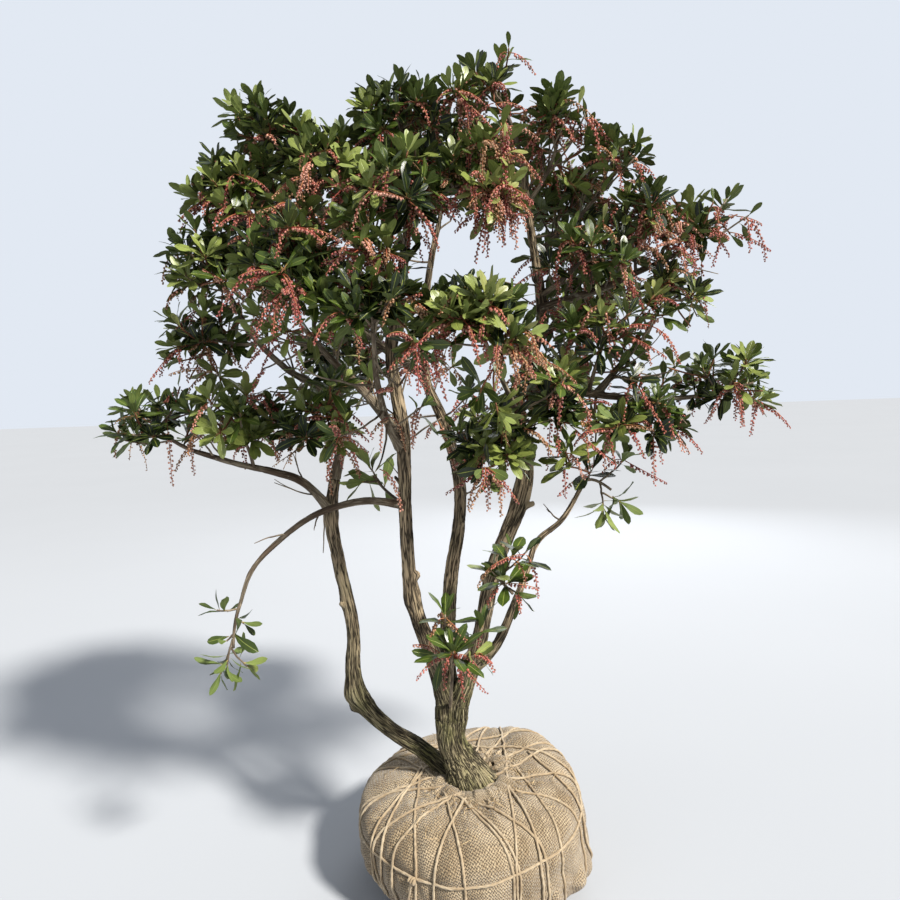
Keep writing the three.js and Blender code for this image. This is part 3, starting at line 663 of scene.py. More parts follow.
def bridge(mass, other):
    """Shoots that close the crown between two neighbouring masses."""
    random = mass.random
    apart = np.linalg.norm(mass.centre - other.centre)
    thin = min(THIN.get(mass.name, 1), THIN.get(other.name, 1))
    for _ in range(round((3.4 if apart < CLOSE_NEIGHBOURS else 1.9) * (0.4 + 0.6 * thin))):
        end = mass.centre + (other.centre - mass.centre) * random(0.38, 0.62)
        end = end + jitter(random, -0.8) * 0.034
        if in_window(end):
            continue
        hosts = [line for line, _ in mass.old_twigs + other.old_twigs]
        host = min(hosts, key=lambda line: np.linalg.norm(line[2:] - end, axis=1).min())
        spot = 2 + int(np.linalg.norm(host[2:] - end, axis=1).argmin())
        line = crooked(host[max(1, spot - 2)], end, random(0.0, 0.14), random, 6)
        mass.young_twigs.append(tapered(line, FINE_SHOOT))
        mass.rosettes.append(Rosette(line, int(random(0, 4)), None, None if random() < thin else 0))


def side_shoots(masses):
    """Leafy and bare twigs along the boughs and the upper stems, each given to the mass nearest to it."""
    random = random_from(517)
    for name in LIMBS:
        branch = limb(name)
        for _ in range(int(branch.length / 0.030)):
            point, lean, radius = branch.at(random(0.08, 0.97))
            if point[2] < 0.86 or name == "bough_drooping":
                continue
            out = out_of(lean, random(0, 2 * math.pi))
            aim = unit(out + lean * random(0, 0.8) + UP * random(-0.2, 0.5))
            end = point + aim * (radius + random(0.05, 0.14))
            if in_window(end):
                continue
            mass = min(masses, key=lambda mass: mass.depth(end))
            line = crooked(point, end, random(-0.05, 0.14), random, 7)
            mass.old_twigs.append(tapered(line, SIDE_SHOOT))
            leaves = int(random(4, 11)) if random() < 0.5 * THIN.get(mass.name, 1) + 0.1 else 0
            mass.rosettes.append(Rosette(line, int(random(0, 2.7)), None, leaves, random(0.1, 0.9)))


def grouped_shoots(masses):
    """The groups of like shoots, each shoot on a twig from the nearest one of the crown."""
    random = random_from(733)
    for middle, spread, shoots, leaves, racemes, rise, tone in GROUPS_OF_SHOOTS:
        middle, spread = np.array(middle) * MM, np.array(spread) * MM
        for _ in range(shoots):
            out = unit(jitter(random)) * random(0.3, 1) ** 0.5
            end = middle + out * spread * 1.2
            near = sorted(masses, key=lambda mass: mass.depth(end))[:3]
            hosts = [line for mass in near for line, _ in mass.old_twigs + mass.young_twigs]
            host = min(hosts, key=lambda line: np.linalg.norm(line[:-1] - end + UP * 0.03, axis=1).min())
            spot = int(np.linalg.norm(host[:-1] - end + UP * 0.03, axis=1).argmin())
            line = crooked(host[spot], end, random(-0.02, 0.14), random, 7)
            near[0].young_twigs.append(tapered(line, SPRAY_SHOOT))
            near[0].rosettes.append(Rosette(line, racemes + int(random(-1, 1.99)), None,
                                            leaves + int(random(-2, 2.99)), rise, tone + random(-0.25, 0.25)))


@functools.cache
def crown():
    """All masses of foliage, grown in their order."""
    masses = [Mass(index, name) for index, name in enumerate(MASSES)]
    for mass in masses:
        grow(mass)
    for i, mass in enumerate(masses):
        for other in masses[i + 1:]:
            near = np.linalg.norm(mass.centre - other.centre) < NEIGHBOURS
            if near and mass.name not in SPRAYS and other.name not in SPRAYS:
                bridge(mass, other)
    side_shoots(masses)
    grouped_shoots(masses)
    return masses


# ---------------------------------------------------------------- materials


def tint(red, green, blue):
    """A colour picker's 0 to 255 values as the linear colour that materials use."""
    return tuple(c / 3294.6 if c < 11 else ((c / 255 + 0.055) / 1.055) ** 2.4 for c in (red, green, blue))


def add(tree, kind, inputs=None, **values):
    """Adds a node. An input is a plain value or the socket that feeds it."""
    node = tree.nodes.new("ShaderNode" + kind)
    for name, value in values.items():
        setattr(node, name, value)
    for name, value in (inputs or {}).items():
        if isinstance(value, bpy.types.NodeSocket):
            tree.links.new(value, node.inputs[name])
        else:
            node.inputs[name].default_value = value
    return node


def maths(tree, operation, a, b=0.0):
    return add(tree, "Math", {0: a, 1: b}, operation=operation).outputs[0]


def times(tree, a, b):
    return maths(tree, "MULTIPLY", a, b)


def step(tree, value, low, high):
    """A soft step from 0 at low to 1 at high."""
    limits = {"Value": value, "From Min": low, "From Max": high}
    return add(tree, "MapRange", limits, interpolation_type="SMOOTHSTEP").outputs["Result"]


def blend(tree, share, first, second):
    """Mixes two colours."""
    return add(tree, "Mix", {0: share, 6: first, 7: second}, data_type="RGBA").outputs[2]


def rgba(colour):
    return (*colour[:3], 1.0)


def mottled(tree, mask, low, high, first, second):
    """A colour that turns from the first to the second as a mask goes from low to high."""
    return blend(tree, step(tree, mask, low, high), rgba(first), rgba(second))


def layer(tree, colour, mask, share, tone):
    """Lays a tone of 0 to 255 over a colour where a mask says, at a share of its strength."""
    return blend(tree, times(tree, mask, share), colour, rgba(tint(*tone)))


def cloud(tree, vector, scale, detail=3.0, roughness=0.55):
    """Noise of 0 to 1 with lumps one over scale metres wide."""
    return add(tree, "TexNoise", {"Vector": vector, "Scale": scale, "Detail": detail,
                                  "Roughness": roughness}).outputs["Fac"]


def stretched(tree, vector, scale):
    return add(tree, "Mapping", {"Vector": vector, "Scale": scale}).outputs[0]


def wandering(tree, place, scale, reach):
    """A place moved by up to half of reach, in waves one over scale metres wide."""
    drift = add(tree, "TexNoise", {"Vector": place, "Scale": scale, "Detail": 2.0})
    centred = add(tree, "VectorMath", {0: drift.outputs["Color"], 1: (0.5, 0.5, 0.5)},
                  operation="SUBTRACT")
    shift = add(tree, "VectorMath", {0: centred.outputs[0], "Scale": reach}, operation="SCALE")
    return add(tree, "VectorMath", {0: place, 1: shift.outputs[0]}, operation="ADD").outputs[0]


def node_group(name, inputs, outputs, build):
    """A shader node group that is built once and shared. Its outputs are all numbers."""
    if name in bpy.data.node_groups:
        return bpy.data.node_groups[name]
    group = bpy.data.node_groups.new(name, "ShaderNodeTree")
    for title, kind, value in inputs:
        socket = group.interface.new_socket(title, in_out="INPUT", socket_type="NodeSocket" + kind)
        if value is not None:
            socket.default_value = value
    for title in outputs:
        group.interface.new_socket(title, in_out="OUTPUT", socket_type="NodeSocketFloat")
    entry = group.nodes.new("NodeGroupInput")
    leave = group.nodes.new("NodeGroupOutput")
    for title, socket in build(group, entry.outputs).items():
        group.links.new(socket, leave.inputs[title])
    return group


def use_group(tree, group, inputs):
    node = tree.nodes.new("ShaderNodeGroup")
    node.node_tree = group
    for name, value in inputs.items():
        if isinstance(value, bpy.types.NodeSocket):
            tree.links.new(value, node.inputs[name])
        else:
            node.inputs[name].default_value = value
    return node.outputs


def bark_fibre():
    """Interlacing fibres that run along the wood, with fissures between them, which the bark materials darken
    as painted shade.
    """
    def build(tree, socket):
        along = stretched(tree, socket["Vector"], (1, 1, 0.085))
        size = socket["Fineness"]
        moved = wandering(tree, along, times(tree, size, 0.35), 0.004)
        fibre = cloud(tree, moved, size, 2.0, 0.5)
        valley = maths(tree, "ABSOLUTE", maths(tree, "SUBTRACT", fibre, 0.5))
        fissure = step(tree, valley, 0.095, 0.0)
        hairs = stretched(tree, socket["Vector"], (1, 1, 0.06))
        hair = cloud(tree, hairs, times(tree, size, 3.2), 3.0)
        ridge = maths(tree, "ADD", step(tree, valley, 0.0, 0.2), times(tree, hair, 0.7))
        height = maths(tree, "SUBTRACT", ridge, fissure)
        patches = stretched(tree, socket["Vector"], (1, 1, 0.3))
        tone = cloud(tree, patches, times(tree, size, 0.12), 3.0)
        return {"Fissure": fissure, "Height": height, "Tone": tone, "Hair": hair}
    return node_group("Bark Fibre", [("Vector", "Vector", None), ("Fineness", "Float", 130.0)],
                      ("Fissure", "Height", "Tone", "Hair"), build)


def plain_weave():
    """Threads that pass over and under each other, uneven in width, with open gaps between them."""
    def build(tree, socket):
        moved = wandering(tree, socket["Vector"], 60.0, 0.008)
        parts = add(tree, "SeparateXYZ", {0: moved}).outputs
        turns = maths(tree, "DIVIDE", math.pi, socket["Pitch"])
        warp = maths(tree, "SINE", times(tree, parts[0], turns))
        weft = maths(tree, "SINE", times(tree, parts[1], turns))
        over = step(tree, times(tree, warp, weft), -0.15, 0.15)
        warp_height, weft_height = maths(tree, "ABSOLUTE", warp), maths(tree, "ABSOLUTE", weft)
        height = add(tree, "Mix", {0: over, 2: warp_height, 3: weft_height}).outputs[0]
        gap = step(tree, maths(tree, "MAXIMUM", warp_height, weft_height), 0.62, 0.30)
        fuzz = cloud(tree, moved, 900.0, 2.0)
        return {"Height": maths(tree, "ADD", height, times(tree, fuzz, 0.5)), "Gap": gap}
    return node_group("Plain Weave", [("Vector", "Vector", None), ("Pitch", "Float", 0.004)],
                      ("Height", "Gap"), build)


def leaf_face():
    """The midrib, the side veins and the foot of a leaf, by its own UV map."""
    def build(tree, socket):
        parts = add(tree, "SeparateXYZ", {0: socket["UV"]}).outputs
        across = maths(tree, "ABSOLUTE", maths(tree, "SUBTRACT", times(tree, parts[0], 2.0), 1.0))
        rib = step(tree, across, 0.13, 0.03)
        slant = maths(tree, "SUBTRACT", times(tree, parts[1], 26.0), times(tree, across, 5.0))
        wave = maths(tree, "SINE", times(tree, slant, math.pi))
        vein = times(tree, step(tree, wave, 0.8, 1.0), step(tree, across, 0.98, 0.4))
        stalk = step(tree, parts[1], 0.14, 0.03)
        return {"Rib": rib, "Vein": vein, "Stalk": stalk}
    return node_group("Leaf Face", [("UV", "Vector", None)], ("Rib", "Vein", "Stalk"), build)


def new_material(name, roughness=0.6, specular=0.5, coat=0.0, sheen=0.0):
    """A material with its tree and its Principled shader, whose plain numbers are set on its sockets."""
    material = bpy.data.materials.get(name)
    if material:
        bpy.data.materials.remove(material)
    material = bpy.data.materials.new(name)
    material.use_nodes = True
    tree = material.node_tree
    shader = tree.nodes["Principled BSDF"]
    shader.inputs["Roughness"].default_value = roughness
    shader.inputs["Specular IOR Level"].default_value = specular
    shader.inputs["Coat Weight"].default_value = coat
    shader.inputs["Coat Roughness"].default_value = 0.25
    shader.inputs["Sheen Weight"].default_value = sheen
    return material, tree, shader


def bump(tree, shader, height, distance, strength=1.0):
    node = add(tree, "Bump", {"Height": height, "Distance": distance, "Strength": strength})
    tree.links.new(node.outputs[0], shader.inputs["Normal"])


def object_place(tree):
    return add(tree, "TexCoord").outputs["Object"]


def attribute(tree, name):
    return add(tree, "Attribute", attribute_name=name).outputs["Vector"]


@functools.cache
def burlap_material():
    material, tree, shader = new_material("Burlap", 0.92, 0.15, sheen=0.25)
    values = settings("ball")
    place = object_place(tree)
    height = add(tree, "SeparateXYZ", {0: place}).outputs[2]
    cloths = []
    for name, turn in (("weave_top", 0.62), ("weave_foot", -0.5)):
        turned = add(tree, "Mapping", {"Vector": attribute(tree, name), "Rotation": (0, 0, turn)}).outputs[0]
        cloths.append(use_group(tree, plain_weave(), {"Vector": turned, "Pitch": values.weave}))
    # The weave of the cloth's top gives way to that of its foot along an uneven line.
    uneven = times(tree, cloud(tree, place, 25.0), 0.02)
    upper = step(tree, maths(tree, "ADD", height, uneven), 0.088, 0.102)
    weave = {key: add(tree, "Mix", {0: upper, 2: cloths[1][key], 3: cloths[0][key]}).outputs[0]
             for key in ("Height", "Gap")}
    faded = cloud(tree, place, 14.0, 4.0, 0.6)
    cloth = mottled(tree, faded, 0.35, 0.68, values.cloth_dark, values.cloth)
    soiled = times(tree, step(tree, height, 0.11, 0.0), cloud(tree, place, 32.0, 4.0))
    cloth = layer(tree, cloth, soiled, 0.75, (118, 91, 62))
    spots = step(tree, cloud(tree, place, 46.0, 3.0, 0.7), 0.66, 0.74)
    cloth = layer(tree, cloth, spots, 0.45, (134, 103, 70))
    thread = cloud(tree, stretched(tree, attribute(tree, "weave_top"), (1, 0.12, 1)), 380.0, 2.0)
    cloth = layer(tree, cloth, step(tree, thread, 0.45, 0.7), 0.35, (216, 198, 164))
    # Painted shade: the threads are darkened where they pass under, and the open gaps between threads are
    # painted near black.
    cloth = layer(tree, cloth, step(tree, weave["Height"], 1.05, 0.5), 0.78, (92, 74, 52))
    cloth = layer(tree, cloth, weave["Gap"], 0.95, (44, 34, 23))
    tree.links.new(cloth, shader.inputs["Base Color"])
    bump(tree, shader, weave["Height"], 0.0016)
    return material


# Materials that are no more than mottled: roughness, specular, scale and detail of their mottling, and the
# two tones that it lies between.
MOTTLED = {
    "Loose Fibre": (0.9, 0.2, 60.0, 3.0, (122, 98, 68), (204, 178, 136)),
    "Raceme Stalk": (0.55, 0.35, 30.0, 1.0, (139, 58, 43), (161, 110, 70)),
    "Dry Capsule": (0.8, 0.25, 90.0, 2.0, (70, 50, 36), (134, 101, 67)),
}


@functools.cache
def mottled_material(name):
    roughness, specular, scale, detail, first, second = MOTTLED[name]
    material, tree, shader = new_material(name, roughness, specular)
    tone = cloud(tree, object_place(tree), scale, detail)
    colour = mottled(tree, tone, 0.35, 0.65, tint(*first), tint(*second))
    tree.links.new(colour, shader.inputs["Base Color"])
    return material


def twine_material():
    material, tree, shader = new_material("Straw Twine", 0.82, 0.25, sheen=0.2)
    grain = attribute(tree, "grain")
    strand = cloud(tree, stretched(tree, grain, (1, 1, 0.12)), 900.0, 3.0)
    tone = cloud(tree, object_place(tree), 22.0, 2.0)
    colour = mottled(tree, tone, 0.3, 0.7, tint(160, 140, 112), settings("twine").straw)
    colour = layer(tree, colour, step(tree, strand, 0.58, 0.40), 0.5, (106, 86, 60))
    tree.links.new(colour, shader.inputs["Base Color"])
    bump(tree, shader, strand, 0.0006)
    return material


def bark_material():
    material, tree, shader = new_material("Furrowed Bark", 0.88, 0.22)
    grain, place = attribute(tree, "grain"), object_place(tree)
    bark = use_group(tree, bark_fibre(), {"Vector": grain, "Fineness": 210.0})
    height = add(tree, "SeparateXYZ", {0: place}).outputs[2]
    values = settings("wood")
    colour = mottled(tree, bark["Tone"], 0.36, 0.62, values.bark_dark, values.bark)
    colour = layer(tree, colour, step(tree, bark["Hair"], 0.48, 0.66), 0.7, (184, 171, 138))
    # Moss low down, paler wood above the fork, and stains anywhere.
    moss = times(tree, step(tree, cloud(tree, place, 17.0, 3.0), 0.42, 0.66), step(tree, height, 0.75, 0.25))
    colour = layer(tree, colour, moss, 0.45, (108, 110, 62))
    pale = times(tree, step(tree, height, 0.36, 0.62), step(tree, cloud(tree, place, 9.0, 3.0), 0.25, 0.6))
    colour = blend(tree, pale, colour, rgba(tint(172, 152, 124)))
    stain = step(tree, cloud(tree, place, 11.0, 2.0), 0.54, 0.66)
    colour = layer(tree, colour, stain, 0.55, (60, 48, 37))
    # Painted shade: the fissures between the fibres are painted near black.
    colour = layer(tree, colour, bark["Fissure"], 0.95, (24, 19, 13))
    tree.links.new(colour, shader.inputs["Base Color"])
    bump(tree, shader, bark["Height"], 0.0016)
    return material


def bough_material():
    material, tree, shader = new_material("Smooth Bark", 0.82, 0.25)
    grain, place = attribute(tree, "grain"), object_place(tree)
    bark = use_group(tree, bark_fibre(), {"Vector": grain, "Fineness": 260.0})
    colour = mottled(tree, bark["Tone"], 0.38, 0.62, tint(89, 74, 60), settings("wood").bough)
    lichen = step(tree, cloud(tree, place, 70.0, 3.0), 0.60, 0.70)
    colour = layer(tree, colour, lichen, 0.4, (206, 202, 180))
    # Painted shade: the fissures are darkened.
    colour = layer(tree, colour, bark["Fissure"], 0.7, (62, 48, 36))
    tree.links.new(colour, shader.inputs["Base Color"])
    bump(tree, shader, bark["Height"], 0.0007)
    return material


def twig_material(young):
    material, tree, shader = new_material("Young Twig" if young else "Old Twig", 0.7, 0.3)
    bark = use_group(tree, bark_fibre(), {"Vector": attribute(tree, "grain"), "Fineness": 420.0})
    low, high = ((104, 62, 44), (146, 98, 68)) if young else ((82, 70, 58), (158, 143, 121))
    colour = mottled(tree, bark["Tone"], 0.35, 0.65, tint(*low), tint(*high))
    # Painted shade: the fissures are darkened.
    colour = layer(tree, colour, bark["Fissure"], 0.5, (58, 41, 31))
    tree.links.new(colour, shader.inputs["Base Color"])
    bump(tree, shader, bark["Height"], 0.0003)
    return material


def leaf_material(colour):
    material, tree, shader = new_material("Leaf " + colour, 0.45, 0.42)
    blade = getattr(settings("foliage"), "leaf_" + colour)
    uv = add(tree, "TexCoord").outputs["UV"]
    place = object_place(tree)
    face = use_group(tree, leaf_face(), {"UV": uv})
    tone = cloud(tree, place, 24.0, 2.0)
    upper = mottled(tree, tone, 0.3, 0.7, [c * 0.72 for c in blade], [c * 1.28 for c in blade])
    upper = blend(tree, times(tree, face["Vein"], 0.16), upper, rgba([c * 2.0 + 0.01 for c in blade]))
    upper = layer(tree, upper, face["Rib"], 0.55, (148, 158, 72))
    spots = step(tree, cloud(tree, place, 190.0, 2.0), 0.68, 0.76)
    upper = layer(tree, upper, spots, 0.30, (115, 94, 48))
    under = blend(tree, 0.50, upper, rgba(tint(112, 128, 66)))
    behind = add(tree, "NewGeometry").outputs["Backfacing"]
    whole = blend(tree, behind, upper, under)
    whole = layer(tree, whole, face["Stalk"], 0.7, (180, 146, 84))
    tree.links.new(whole, shader.inputs["Base Color"])
    sheen = maths(tree, "ADD", times(tree, tone, 0.26), 0.22)
    tree.links.new(add(tree, "Mix", {0: behind, 2: sheen, 3: 0.7}).outputs[0], shader.inputs["Roughness"])
    relief = maths(tree, "SUBTRACT", times(tree, face["Vein"], -0.25), face["Rib"])
    bump(tree, shader, relief, 0.0007, 0.8)
    return material


def bud_material(colour):
    material, tree, shader = new_material("Bud " + colour, 0.42, 0.45, coat=0.1)
    base = getattr(settings("foliage"), "bud_" + colour)
    height = add(tree, "SeparateXYZ", {0: add(tree, "TexCoord").outputs["UV"]}).outputs[1]
    tone = cloud(tree, object_place(tree), 150.0, 1.0)
    skin = mottled(tree, tone, 0.38, 0.62, [c * 0.50 for c in base], [min(1, c * 1.25) for c in base])
    # Painted highlight: the bud's lower end is laid over with cream.
    skin = layer(tree, skin, step(tree, height, 0.45, 0.02), 0.45, (238, 200, 160))
    skin = layer(tree, skin, step(tree, height, 0.80, 0.97), 0.7, (115, 43, 34))
    tree.links.new(skin, shader.inputs["Base Color"])
    return material


def floor_material():
    material, tree, shader = new_material("Studio Floor", 0.85, 0.2)
    tone = cloud(tree, object_place(tree), 0.8, 2.0)
    colour = layer(tree, rgba(settings("stage").floor), tone, 0.3, (178, 181, 186))
    tree.links.new(colour, shader.inputs["Base Color"])
    return material


# ---------------------------------------------------------------- what a user may change


def length_of(name, description, default, low, high):
    return bpy.props.FloatProperty(name=name, description=description, default=default, min=low, max=high,
                                   subtype="DISTANCE", unit="LENGTH", precision=4)


def colour_of(name, description, default):
    return bpy.props.FloatVectorProperty(name=name, description=description, default=default, size=3,
                                         subtype="COLOR", min=0, max=1)


class PierisBallSettings(bpy.types.PropertyGroup):
    """The burlap-wrapped root ball"""

    groove: length_of("Groove", "How deep the twine bites into the cloth", 0.0032, 0, 0.01)
    folds: length_of("Gathers", "Height of the folds gathered round the trunk", 0.013, 0, 0.03)
    weave: length_of("Weave", "Distance between the cloth's threads", 0.0044, 0.001, 0.01)
    fibres: bpy.props.IntProperty(name="Fibres", description="Loose fibres at the gathered edge",
                                  default=260, min=1)
    cloth: colour_of("Cloth", "Colour of the faded cloth", tint(176, 158, 131))
    cloth_dark: colour_of("Cloth in Shade", "Colour of the cloth where it is damp or worn",
                          tint(138, 119, 92))


class PierisTwineSettings(bpy.types.PropertyGroup):
    """The straw twine"""

    diameter: length_of("Diameter", "Thickness of the twine", 0.0048, 0.002, 0.01)
    pitch: length_of("Lay", "Length of one turn of the two yarns", 0.030, 0.005, 0.05)
    straw: colour_of("Straw", "Colour of the twine", tint(184, 168, 142))


class PierisWoodSettings(bpy.types.PropertyGroup):
    """The trunk, the stems and the boughs"""

    fineness: length_of("Fineness", "Size of the faces of the bark's skin", 0.0023, 0.0015, 0.01)
    relief: length_of("Relief", "Depth of the bark's furrows", 0.0016, 0, 0.005)
    bark: colour_of("Bark", "Colour of the ridges", tint(134, 123, 96))
    bark_dark: colour_of("Shaded Bark", "Colour of the darker bark", tint(64, 56, 41))
    bough: colour_of("Bough", "Colour of the smoother bark", tint(146, 134, 114))


class PierisFoliageSettings(bpy.types.PropertyGroup):
    """The leaves and the racemes"""

    rosettes: bpy.props.FloatProperty(name="Rosettes", description="Shoots in a mass of middling size",
                                      default=20, min=3, max=40)
    leaf_length: length_of("Leaf", "Length of a grown leaf", 0.054, 0.03, 0.12)
    flowering: bpy.props.FloatProperty(name="Flowering", description="Share of shoots that carry racemes",
                                       default=0.32, min=0, max=1, subtype="FACTOR")
    raceme_length: length_of("Raceme", "Length of a long raceme", 0.096, 0.03, 0.15)
    bud_size: length_of("Bud", "Length of a bud", 0.0060, 0.002, 0.01)
    # The leaf colours are also dealt by place in the crown: the darker ones carry painted shade deep inside
    # it, the lighter ones painted light at its top and edges.
    leaf_dark: colour_of("Dark Leaf", "Old leaves", tint(22, 34, 11))
    leaf_green: colour_of("Green Leaf", "Grown leaves", tint(56, 72, 20))
    leaf_fresh: colour_of("Fresh Leaf", "Younger leaves in the sun", tint(112, 122, 60))
    leaf_yellow: colour_of("Yellowed Leaf", "Leaves that yellow", tint(137, 140, 80))
    bud_coral: colour_of("Coral Bud", "Most of the buds", tint(160, 84, 74))
    bud_rose: colour_of("Rose Bud", "Deeper buds", tint(138, 62, 60))
    bud_pale: colour_of("Pale Bud", "Opening buds", tint(184, 128, 110))
    bud_amber: colour_of("Amber Bud", "Unripe buds", tint(150, 110, 78))


class PierisStageSettings(bpy.types.PropertyGroup):
    """The plain studio round the shrub"""

    floor: colour_of("Floor", "Colour of the floor", tint(166, 169, 174))
    sun: bpy.props.FloatProperty(name="Key Light", description="Strength of the key light",
                                 default=7.1, min=0)
    fill: bpy.props.FloatProperty(name="Fill Light", description="Power of the fill light", default=14,
                                  min=0, unit="POWER")
    back: bpy.props.FloatProperty(name="Back Light", description="Power of the light from behind", default=60,
                                  min=0, unit="POWER")
    sky: bpy.props.FloatProperty(name="Sky", description="Brightness of the room", default=0.50, min=0)


# ---------------------------------------------------------------- the root ball


def ball_outline(share):
    """Radius and height of the ball's outline, from the middle of its foot at 0 to its top at 1."""
    low = np.clip(share / 0.4, 0, 1) * np.pi / 2
    high = np.clip((share - 0.4) / 0.6, 0, 1) * np.pi / 2
    power = 2 / BALL_ROUNDNESS
    radius = np.where(share < 0.4, BALL_FOOT + (BALL_RADIUS - BALL_FOOT) * np.sin(low),
                      BALL_RADIUS * np.maximum(np.cos(high), 0) ** power)
    height = np.where(share < 0.4, BALL_WAIST * (1 - np.cos(low)),
                      BALL_WAIST + (BALL_HEIGHT - BALL_WAIST) * np.maximum(np.sin(high), 0) ** power)
    return radius, height


def ball_profile(count):
    """The outline with its flat foot, as evenly spaced radii and heights."""
    radius, height = ball_outline(np.linspace(0, 1, 400))
    line = np.stack([np.append(0, radius), np.append(0, height)], 1)
    return spaced(line, count).T


def settle(points):
    """The wrapped soil has settled unevenly: its shoulder is fuller to the right."""
    share = points[..., 0] / BALL_RADIUS
    upper = np.maximum(0, points[..., 2] - BALL_WAIST) / (BALL_HEIGHT - BALL_WAIST)
    moved = points.copy()
    moved[..., 2] += BALL_HEIGHT * BALL_LEAN * share * upper
    # Soil stands up in a corner at the right, behind.
    beside = ((points[..., 0] - 0.125) / 0.075) ** 2
    behind = ((points[..., 1] - 0.105) / 0.095) ** 2
    corner = np.exp(-beside - behind) * upper
    moved[..., 2] += 0.021 * corner
    moved[..., :2] *= (1 + 0.05 * corner)[..., None]
    return moved


def shoulder_radius(rise):
    """The ball's radius at a share of the way from its waist to its top."""
    return BALL_RADIUS * (1 - rise**BALL_ROUNDNESS) ** (1 / BALL_ROUNDNESS)


def over_ball(points, lift):
    """Points of the unsettled surface, settled and lifted out from the cloth."""
    rise = np.where(points[:, 2] > BALL_WAIST, (points[:, 2] - BALL_WAIST) / (BALL_HEIGHT - BALL_WAIST),
                    (points[:, 2] - BALL_WAIST) / BALL_WAIST)
    steep = np.where(rise > 0, rise**3, rise)
    flat = unit(points * (1, 1, 0)) * np.sqrt(np.maximum(1 - steep**2, 0))[:, None]
    return settle(points) + unit(flat + UP * steep[:, None]) * np.reshape(lift, (-1, 1))


def strand_line(angle, pass_by, start, end, lift):
    """A strand that climbs the ball, passes the trunk's foot at pass_by and goes down the far side."""
    across = np.array([math.cos(angle), math.sin(angle), 0.0])
    ahead = np.array([-across[1], across[0], 0.0])
    radius, height = ball_outline(np.linspace(0.10, 0.985, 60))
    keep = radius > abs(pass_by) * 1.02
    run = np.sqrt(radius[keep] ** 2 - pass_by**2)[:, None]
    climb = UP * height[keep][:, None] + across * pass_by
    line = np.vstack([climb - ahead * run, (climb + ahead * run)[::-1]])
    line = spaced(line, 130)[int(start * 130):int(end * 130)]
    return over_ball(line, lift)


def run_line(start, through, whole):
    """A run of twine, straight in plan from near the trunk down the ball, or whole from side to side."""
    start, through = np.array(start) * MM, np.array(through) * MM
    ahead = unit(through - start)
    angle = math.atan2(-ahead[0], ahead[1])
    line = strand_line(angle, start @ (ahead[1], -ahead[0]), 0.03, 0.97, 0.0028)
    if whole:
        return line
    first = np.linalg.norm(line[:, :2] - start, axis=1).argmin()
    line = line[first:].copy()
    line[:3, 2] -= (0.007, 0.004, 0.001)
    return line


def tie_line():
    """The tie round the ball's shoulder, lowest at the front, closed where it is knotted."""
    angle = np.linspace(0, 2 * np.pi, 181) + TIE_LOW
    height = TIE_HEIGHT - TIE_TILT * np.cos(angle - TIE_LOW) + 0.004 * np.sin(5 * angle + 1)
    radius = shoulder_radius((height - BALL_WAIST) / (BALL_HEIGHT - BALL_WAIST))
    return over_ball(np.stack([radius * np.cos(angle), radius * np.sin(angle), height], 1), 0.0048)


@functools.cache
def twine_lines():
    """Every run of twine over the ball: the crossing strands, the tie, the shorter loops at its side."""
    lines = [strand_line(2 * np.pi * k / STRANDS, STRAND_PASS, 0.04, 0.96, 0.0046) for k in range(STRANDS)]
    lines.extend(run_line(*run) for run in TWINE_RUNS)
    wavered = []
    for number, line in enumerate(lines):
        sway = noise_at(line, 0.09, 3.1 * number)
        side = unit(np.cross(np.gradient(line, axis=0), unit(line - (0, 0, 0.09))))
        wavered.append(line + side * sway[:, None] * 0.004)
    return [*wavered, tie_line()]


def nearest_distance(points, lines):
    """How far each point lies from the nearest of several lines."""
    samples = np.vstack(lines)
    tree = kdtree.KDTree(len(samples))
    for i, sample in enumerate(samples.tolist()):
        tree.insert(sample, i)
    tree.balance()
    return np.array([tree.find(point)[2] for point in points.tolist()])


def crease_noise(angle, wide, other, scale, seed):
    """Noise that is 0 in its creases, and meets itself on its way round."""
    place = np.stack([np.cos(angle) * wide, np.sin(angle) * wide, other], 1)
    return np.abs(noise_at(place, scale, seed))


